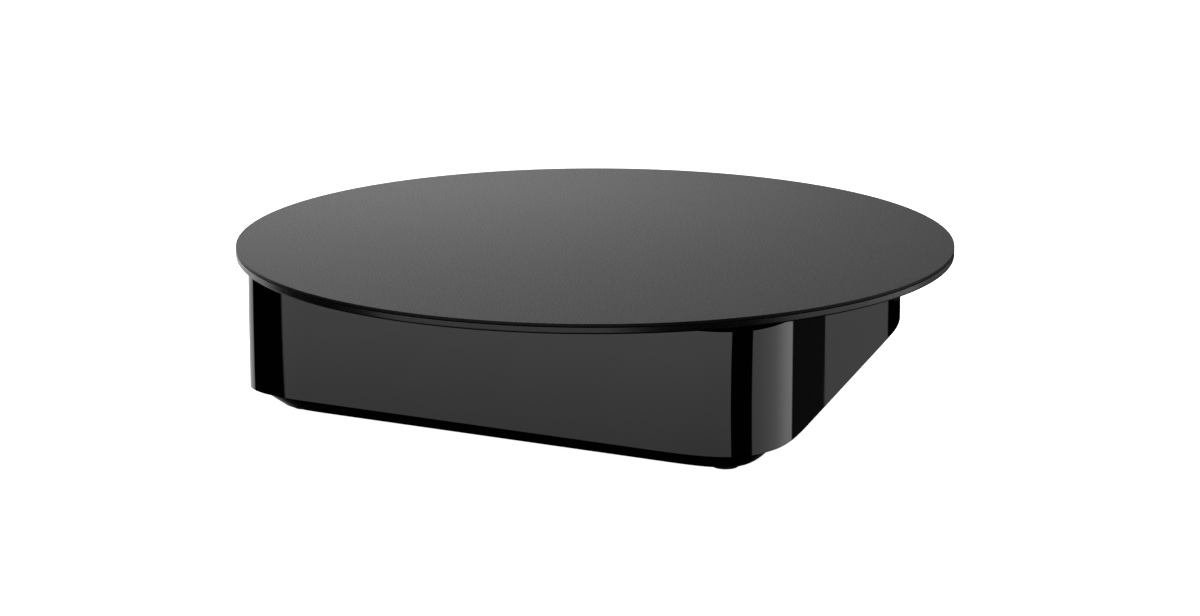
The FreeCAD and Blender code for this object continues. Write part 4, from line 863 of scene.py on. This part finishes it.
def carved(start, added, removed):
    carrier = bpy.data.objects.new("carrier", start)
    scene.collection.objects.link(carrier)
    helpers = []
    for operation, meshes in (("UNION", added), ("DIFFERENCE", removed)):
        for mesh in meshes:
            helper = bpy.data.objects.new("helper", mesh)
            scene.collection.objects.link(helper)
            helpers.append(helper)
            modifier = carrier.modifiers.new(operation.lower(), "BOOLEAN")
            modifier.operation = operation
            modifier.solver = "EXACT"
            modifier.object = helper
    mesh = bpy.data.meshes.new_from_object(carrier.evaluated_get(bpy.context.evaluated_depsgraph_get()))
    for helper in [carrier] + helpers:
        bpy.data.objects.remove(helper)
    return mesh


def makePan(look):
    sunk = (look["base"] + look["floor"]) / 2
    footPlaces, centre = bosses["places"], [(0, 0)]
    past, fine = look["cutPast"], look["holeSegments"]
    solid = posts(look["stands"], look["standRadius"], sunk, look["standTop"])
    solid += posts(look["boardStands"], look["boardStandRadius"], sunk, look["boardStandTop"])
    solid += posts(footPlaces, look["bossRadius"], sunk, look["bossTop"], look["bossSegments"])
    solid += posts(centre, look["padRadius"], sunk, look["padTop"], look["padSegments"])
    holes = posts(footPlaces, look["wellRadius"], 0, look["wellTop"])
    shafts = posts(footPlaces, look["screwHole"], look["wellTop"] - past, look["bossTop"] + past, fine)
    shafts += posts(look["stands"], look["screwHole"], look["standHoleBase"], look["standTop"] + past, fine)
    shafts += posts(
        look["boardStands"], look["boardHole"], look["boardHoleBase"], look["boardStandTop"] + past, fine)
    shafts += posts(centre, look["padHollow"], look["floor"], look["padTop"] + past, look["hollowSegments"])
    ahead, behind = look["portWall"]
    ports = [
        block(x, width, (ahead + behind) / 2, behind - ahead, low, high) for x, width, low, high in look["ports"]]
    mesh = carved(
        toMesh("tray", trayShell(look)), [toMesh("posts", *solid)],
        [toMesh("wells", *holes), toMesh("shafts", *shafts), *(toMesh("port", port) for port in ports)])
    mesh.name = "basePan"
    piece = newPiece("basePan", mesh, grainedFinish("panMatt", look), "base", look["sharpAngle"])
    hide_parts("base_pan")


feet = {
    "places": {
        "front_left_foot": (-65.3, -49.0),
        "front_right_foot": (65.3, -49.0),
        "back_left_foot": (-55.0, 27.0),
        "back_right_foot": (55.0, 27.0),
    },
    "radius": 3.9,
    "height": 1.33,
    "edgeRound": 0.95,
    "upperRound": 0.08,
    "plugRadius": 2.8,
    "plugTop": 4.33,
    "plugRound": 0.3,
    "edgeSteps": 4,
    "segments": 64,
    "colour": (0.006, 0.006, 0.006),
    "roughness": (0.7, 0.9),
    "specular": 0.3,
    "marks": (0.00025, 3.0),
    "tone": (0.003, 3.0),
    "toneDepth": 0.35,
    "reliefHeight": 0.00001,
}


def makeFeet(look):
    material = grainedFinish("footRubber", look)
    radius, height, plug, plugTop = (look[key] for key in ("radius", "height", "plugRadius", "plugTop"))
    corners = [(0, 0, 0), (radius, 0, look["edgeRound"]), (radius, height, look["upperRound"])]
    corners += [(plug, height, 0), (plug, plugTop, look["plugRound"]), (0, plugTop, 0)]
    profile = roundedProfile(corners, look["edgeSteps"])
    for node, place in look["places"].items():
        first, *others = node.split("_")
        name = first + "".join(word.capitalize() for word in others)
        mesh = toMesh(name, lathe(profile, look["segments"], place))
        piece = newPiece(name, mesh, material, "base")
        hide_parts(node)


makePan(pan)
makeFeet(feet)
print("base pan and feet made")


# sockets in the back wall

dataSocket = {
    "centre": (33.5, 40.6, 15.33),  # middle of its face
    "width": 12.0,
    "height": 10.8,
    "length": 16.0,
    "corner": 0.7,
    "mouth": (9.0, 7.8),
    "mouthCorner": 0.5,
    "depth": 9.0,
    "edge": 0.15,
    "tongue": (5.6, 3.0),
    "tongueCorner": 0.2,
    "tongueInset": 0.8,
    "tongueEdge": 0.3,
    "rootSunk": 0.5,          # how far the tongue runs on behind the mouth
    "contactPitch": 2.5,
    "contactWidth": 1.0,
    "contactLength": 6.4,
    "contactRows": 4,
    "contactStand": 0.05,
    "shellColour": (0.62, 0.62, 0.61),
    "tongueColour": (0.012, 0.012, 0.012),
    "contactColour": (0.83, 0.62, 0.25),
}
powerSocket = {
    "centre": (44.6, 40.6, 15.43),
    "width": 9.0,
    "height": 11.0,
    "length": 14.0,
    "corner": 0.5,
    "hole": 3.2,
    "countersink": 0.3,
    "depth": 9.0,
    "edge": 0.2,
    "pin": 1.0,
    "pinInset": 0.8,
    "pinRound": 0.45,
    "pinSegments": 32,
    "rootSunk": 0.5,
    "colour": (0.01, 0.01, 0.01),
    "roughness": (0.34, 0.5),
    "pinColour": (0.6, 0.6, 0.58),
}
boxShape = {"softness": (0.55, 0.55), "cornerSteps": 8, "sideSteps": 2}
nickelMarks = {
    "metallic": 1.0,
    "roughness": (0.22, 0.36),
    "marks": (0.00025, 3.0),
    "stretch": (1, 0.08, 1),
    "tone": (0.003, 2.0),
    "toneDepth": 0.08,
    "reliefHeight": 0.000002,
}
nylonMarks = {
    "roughness": (0.42, 0.58),
    "marks": (0.0002, 3.0),
    "tone": (0.002, 3.0),
    "toneDepth": 0.15,
    "reliefHeight": 0.000005,
}


def boxRing(width, height, corner, level, shape=boxShape):
    line = softOutline(
        width, height / 2, height / 2, (corner, corner), shape["softness"], shape["cornerSteps"],
        shape["sideSteps"])
    return raisedRing(line, level)


def socketPiece(name, rings, centre, material):
    mesh = toMesh(name, skin(rings))
    turnedBack(mesh, centre)
    piece = newPiece(name, mesh, material, "base")
    return piece


def makeDataSocket(look):
    width, height, corner, edge, depth = (look[key] for key in ("width", "height", "corner", "edge", "depth"))
    mouthWidth, mouthHeight = look["mouth"]
    mouthCorner = look["mouthCorner"]
    rings = [
        [(0, 0, -look["length"])],
        boxRing(width, height, corner, -look["length"]),
        boxRing(width, height, corner, -edge),
        boxRing(width - 2 * edge, height - 2 * edge, corner - edge, 0),
        boxRing(mouthWidth + 2 * edge, mouthHeight + 2 * edge, mouthCorner + edge, 0),
        boxRing(mouthWidth, mouthHeight, mouthCorner, -edge),
        boxRing(mouthWidth, mouthHeight, mouthCorner, -depth),
        [(0, 0, -depth)],
    ]
    nickel = grainedFinish("nickelShell", {**nickelMarks, "colour": look["shellColour"]})
    shell = socketPiece("dataSocketShell", rings, look["centre"], nickel)
    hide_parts("data_socket")
    tongueWidth, tongueHeight = look["tongue"]
    tongueCorner, bevel, tip = look["tongueCorner"], look["tongueEdge"], -look["tongueInset"]
    root = -depth - look["rootSunk"]
    rings = [
        [(0, 0, root)],
        boxRing(tongueWidth, tongueHeight, tongueCorner, root),
        boxRing(tongueWidth, tongueHeight, tongueCorner, tip - bevel),
        boxRing(tongueWidth - bevel, tongueHeight - bevel, tongueCorner, tip),
        [(0, 0, tip)],
    ]
    nylon = grainedFinish("tongueNylon", {**nylonMarks, "colour": look["tongueColour"]})
    socketPiece("dataSocketTongue", rings, look["centre"], nylon)
    makeContacts(look)


def makeContacts(look):
    inputs = {
        "contactPitch": look["contactPitch"] * mm,
        "tongueHeight": look["tongue"][1] * mm,
        "contactWidth": look["contactWidth"] * mm,
        "contactThickness": 2 * look["contactStand"] * mm,
        "contactLength": look["contactLength"] * mm,
        "contactRows": look["contactRows"],
    }
    tree, sockets, given = newTree("socketContacts", inputs)
    corners = treeNode(
        tree, "GeometryNodeMeshGrid", Size_X=given["contactPitch"], Size_Y=given["tongueHeight"],
        Vertices_X=2, Vertices_Y=2)
    size = vectorOf(tree, X=given["contactWidth"], Y=given["contactThickness"], Z=given["contactLength"])
    strip = treeNode(tree, "GeometryNodeMeshCube", Size=size, Vertices_Z=given["contactRows"])
    strips = treeNode(
        tree, "GeometryNodeInstanceOnPoints", Points=corners.outputs["Mesh"], Instance=strip.outputs["Mesh"])
    gold = grainedFinish("contactGold", {**nickelMarks, "colour": look["contactColour"]})
    finishTree(tree, strips.outputs["Instances"], gold)
    mesh = meshFromTree(tree, sockets, inputs)
    middle = -look["tongueInset"] - 2 * look["tongueEdge"] - look["contactLength"] / 2
    mesh.transform(Matrix.Translation((0, 0, middle * mm)))
    turnedBack(mesh, look["centre"])
    piece = newPiece("dataSocketContacts", mesh, gold, "base")


def makePowerSocket(look):
    width, height, corner, edge, depth = (look[key] for key in ("width", "height", "corner", "edge", "depth"))
    face = boxRing(width - 2 * edge, height - 2 * edge, corner - edge, 0)
    plan = [Vector(point[:2]) for point in face]
    hole, sink = look["hole"], look["countersink"]
    rings = [
        [(0, 0, -look["length"])],
        boxRing(width, height, corner, -look["length"]),
        boxRing(width, height, corner, -edge),
        face,
        raisedRing(circleFor(plan, hole + sink), 0),
        raisedRing(circleFor(plan, hole), -sink),
        raisedRing(circleFor(plan, hole), -depth),
        [(0, 0, -depth)],
    ]
    finish = {"colour": look["colour"], "roughness": look["roughness"]}
    nylon = grainedFinish("socketNylon", {**nylonMarks, **finish})
    case = socketPiece("powerSocketCase", rings, look["centre"], nylon)
    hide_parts("power_socket")
    pin, tip, root = look["pin"], -look["pinInset"], -depth - look["rootSunk"]
    profile = roundedProfile([(0, root, 0), (pin, root, 0), (pin, tip, look["pinRound"]), (0, tip, 0)])
    mesh = toMesh("powerSocketPin", lathe(profile, look["pinSegments"]))
    turnedBack(mesh, look["centre"])
    nickel = grainedFinish("pinNickel", {**nickelMarks, "colour": look["pinColour"]})
    piece = newPiece("powerSocketPin", mesh, nickel, "base")


makeDataSocket(dataSocket)
makePowerSocket(powerSocket)
print("sockets made")


# Finishes of the drive, bearings, board and fasteners inside. Sizes are those of the marks, in metres.

innerFinishes = {
    "hub_metal": {
        "kind": "turned", "colour": (0.72, 0.73, 0.74), "roughness": (0.224, 0.35), "marks": (0.00012, 3.0)},
    "spindle_steel": {
        "kind": "turned", "colour": (0.6, 0.6, 0.6), "roughness": (0.176, 0.275), "marks": (0.00008, 3.0)},
    "ground_steel": {
        "kind": "turned", "colour": (0.72, 0.72, 0.73), "roughness": (0.08, 0.125), "marks": (0.00005, 3.0)},
    "rotor_steel": {
        "kind": "turned", "colour": (0.42, 0.42, 0.43), "roughness": (0.272, 0.425), "marks": (0.0002, 3.0)},
    "pinion_brass": {
        "kind": "turned", "colour": (0.74, 0.52, 0.2), "roughness": (0.208, 0.325), "marks": (0.0001, 3.0)},
    "cast_metal": {
        "kind": "cast", "colour": (0.52, 0.53, 0.54), "roughness": (0.34, 0.52), "marks": (0.0009, 5.0),
        "tone": (0.0072, 4.0), "reliefHeight": 0.000018},
    "screw_steel": {
        "kind": "cast", "colour": (0.5, 0.5, 0.5), "roughness": (0.22, 0.4), "marks": (0.0003, 5.0),
        "tone": (0.0024, 4.0), "reliefHeight": 0.000006},
    "spring_steel": {
        "kind": "blued", "colour": (0.14, 0.16, 0.24), "roughness": (0.24, 0.38), "marks": (0.0008, 2.0)},
    "sheet_steel": {"kind": "plated", "colour": (0.62, 0.63, 0.64), "roughness": (0.26, 0.42), "cell": 0.0035},
    "motor_steel": {"kind": "laminated", "colour": (0.03, 0.03, 0.03), "roughness": (0.38, 0.55), "sheet": 0.0005},
    "can_metal": {"kind": "drawn", "colour": (0.68, 0.68, 0.7), "roughness": (0.2, 0.35), "marks": (0.0002, 3.0)},
    "gear_plastic": {
        "kind": "moulded", "colour": (0.82, 0.81, 0.75), "roughness": (0.36, 0.5), "tone": (0.004, 3.0)},
    "chip_black": {
        "kind": "moulded", "colour": (0.02, 0.02, 0.02), "roughness": (0.54, 0.68), "tone": (0.0006, 3.0)},
    "socket_white": {
        "kind": "moulded", "colour": (0.8, 0.79, 0.74), "roughness": (0.39, 0.53), "tone": (0.002, 3.0)},
    "board_green": {"kind": "masked", "colour": (0.012, 0.15, 0.06), "roughness": (0.25, 0.4), "track": 0.003},
    "lead_sleeve": {"kind": "braided", "colour": (0.02, 0.02, 0.02), "roughness": (0.75, 0.55), "strand": 0.0009},
}
# what the finishes of one kind have in common
kindFinishes = {
    "turned": {"metallic": 1.0, "turned": True, "tone": (0.004, 2.0), "toneDepth": 0.06, "reliefHeight": 0.000002},
    "cast": {"metallic": 1.0, "toneDepth": 0.12},
    "blued": {"metallic": 1.0, "toneDepth": 0.4},
    "plated": {
        "metallic": 1.0, "marks": (0.0002, 3.0), "stretch": (1, 0.04, 1), "toneDepth": 0.1,
        "reliefHeight": 0.000003},
    "laminated": {"metallic": 0.3, "marks": (0.0007, 3.0), "toneDepth": 0.45, "reliefHeight": 0.00003},
    "drawn": {"metallic": 1.0, "stretch": (1, 1, 0.05), "toneDepth": 0.08, "reliefHeight": 0.000002},
    "moulded": {"marks": (0.00025, 3.0), "toneDepth": 0.07, "reliefHeight": 0.000004},
    "masked": {
        "marks": (0.0004, 2.0), "weaveShare": 0.3, "trackGap": 0.04, "toneDepth": 0.35, "reliefHeight": 0.00003},
    "braided": {"leans": (45, -45), "toneDepth": 0.5, "reliefHeight": 0.0001},
}


def platedSheet(name, look, centre):
    material, tree, shader = newFinish(name, look)
    cells = tree.nodes.new("ShaderNodeTexVoronoi")
    cells.inputs["Scale"].default_value = 1.0 / look["cell"]
    tree.links.new(objectPoint(tree, centre), cells.inputs["Vector"])
    rolled = noiseNode(tree, objectPoint(tree, centre, look["stretch"]), *look["marks"])
    layMarks(tree, shader, look, cells.outputs["Distance"], rolled, rolled)
    return material


def laminatedSteel(name, look, centre):
    material, tree, shader = newFinish(name, look)
    bands = waveNode(tree, objectPoint(tree, centre), look["sheet"], "Z")
    layMarks(tree, shader, look, bands, noiseNode(tree, objectPoint(tree), *look["marks"]), bands)
    return material


def maskedBoard(name, look, centre):
    material, tree, shader = newFinish(name, look)
    point = objectPoint(tree, centre)
    tracks = tree.nodes.new("ShaderNodeTexBrick")
    tracks.inputs["Scale"].default_value = 1.0 / look["track"]
    tracks.inputs["Mortar Size"].default_value = look["trackGap"]
    tree.links.new(point, tracks.inputs["Vector"])
    weave = noiseNode(tree, point, *look["marks"])
    lines = blendNode(tree, tracks.outputs["Fac"], weave, look["weaveShare"])
    layMarks(tree, shader, look, lines, weave, lines)
    return material


def braidedSleeve(name, look, centre):
    material, tree, shader = newFinish(name, look)
    strands = []
    for lean in look["leans"]:
        turned = tree.nodes.new("ShaderNodeVectorRotate")
        turned.inputs["Angle"].default_value = math.radians(lean)
        tree.links.new(objectPoint(tree, centre), turned.inputs["Vector"])
        strands.append(waveNode(tree, turned.outputs["Vector"], look["strand"]))
    weave = mathNode(tree, "MULTIPLY", *strands)
    layMarks(tree, shader, look, weave, weave, weave)
    return material


makers = {"plated": platedSheet, "laminated": laminatedSteel, "masked": maskedBoard, "braided": braidedSleeve}


def dressInside(finishes):
    slots = {part["node"]: part["material_slot"] for part in frame["record"]["subparts"]}
    for name, node in frame["nodes"].items():
        own = finishes.get(slots[name])
        if own is None:
            continue
        look = {**kindFinishes[own["kind"]], **own}
        low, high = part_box(name)
        material = makers.get(look["kind"], grainedFinish)(name + "Finish", look, (low + high) / 2)
        for holder in node.material_slots:
            holder.material = material


dressInside(innerFinishes)
print("inner parts dressed")
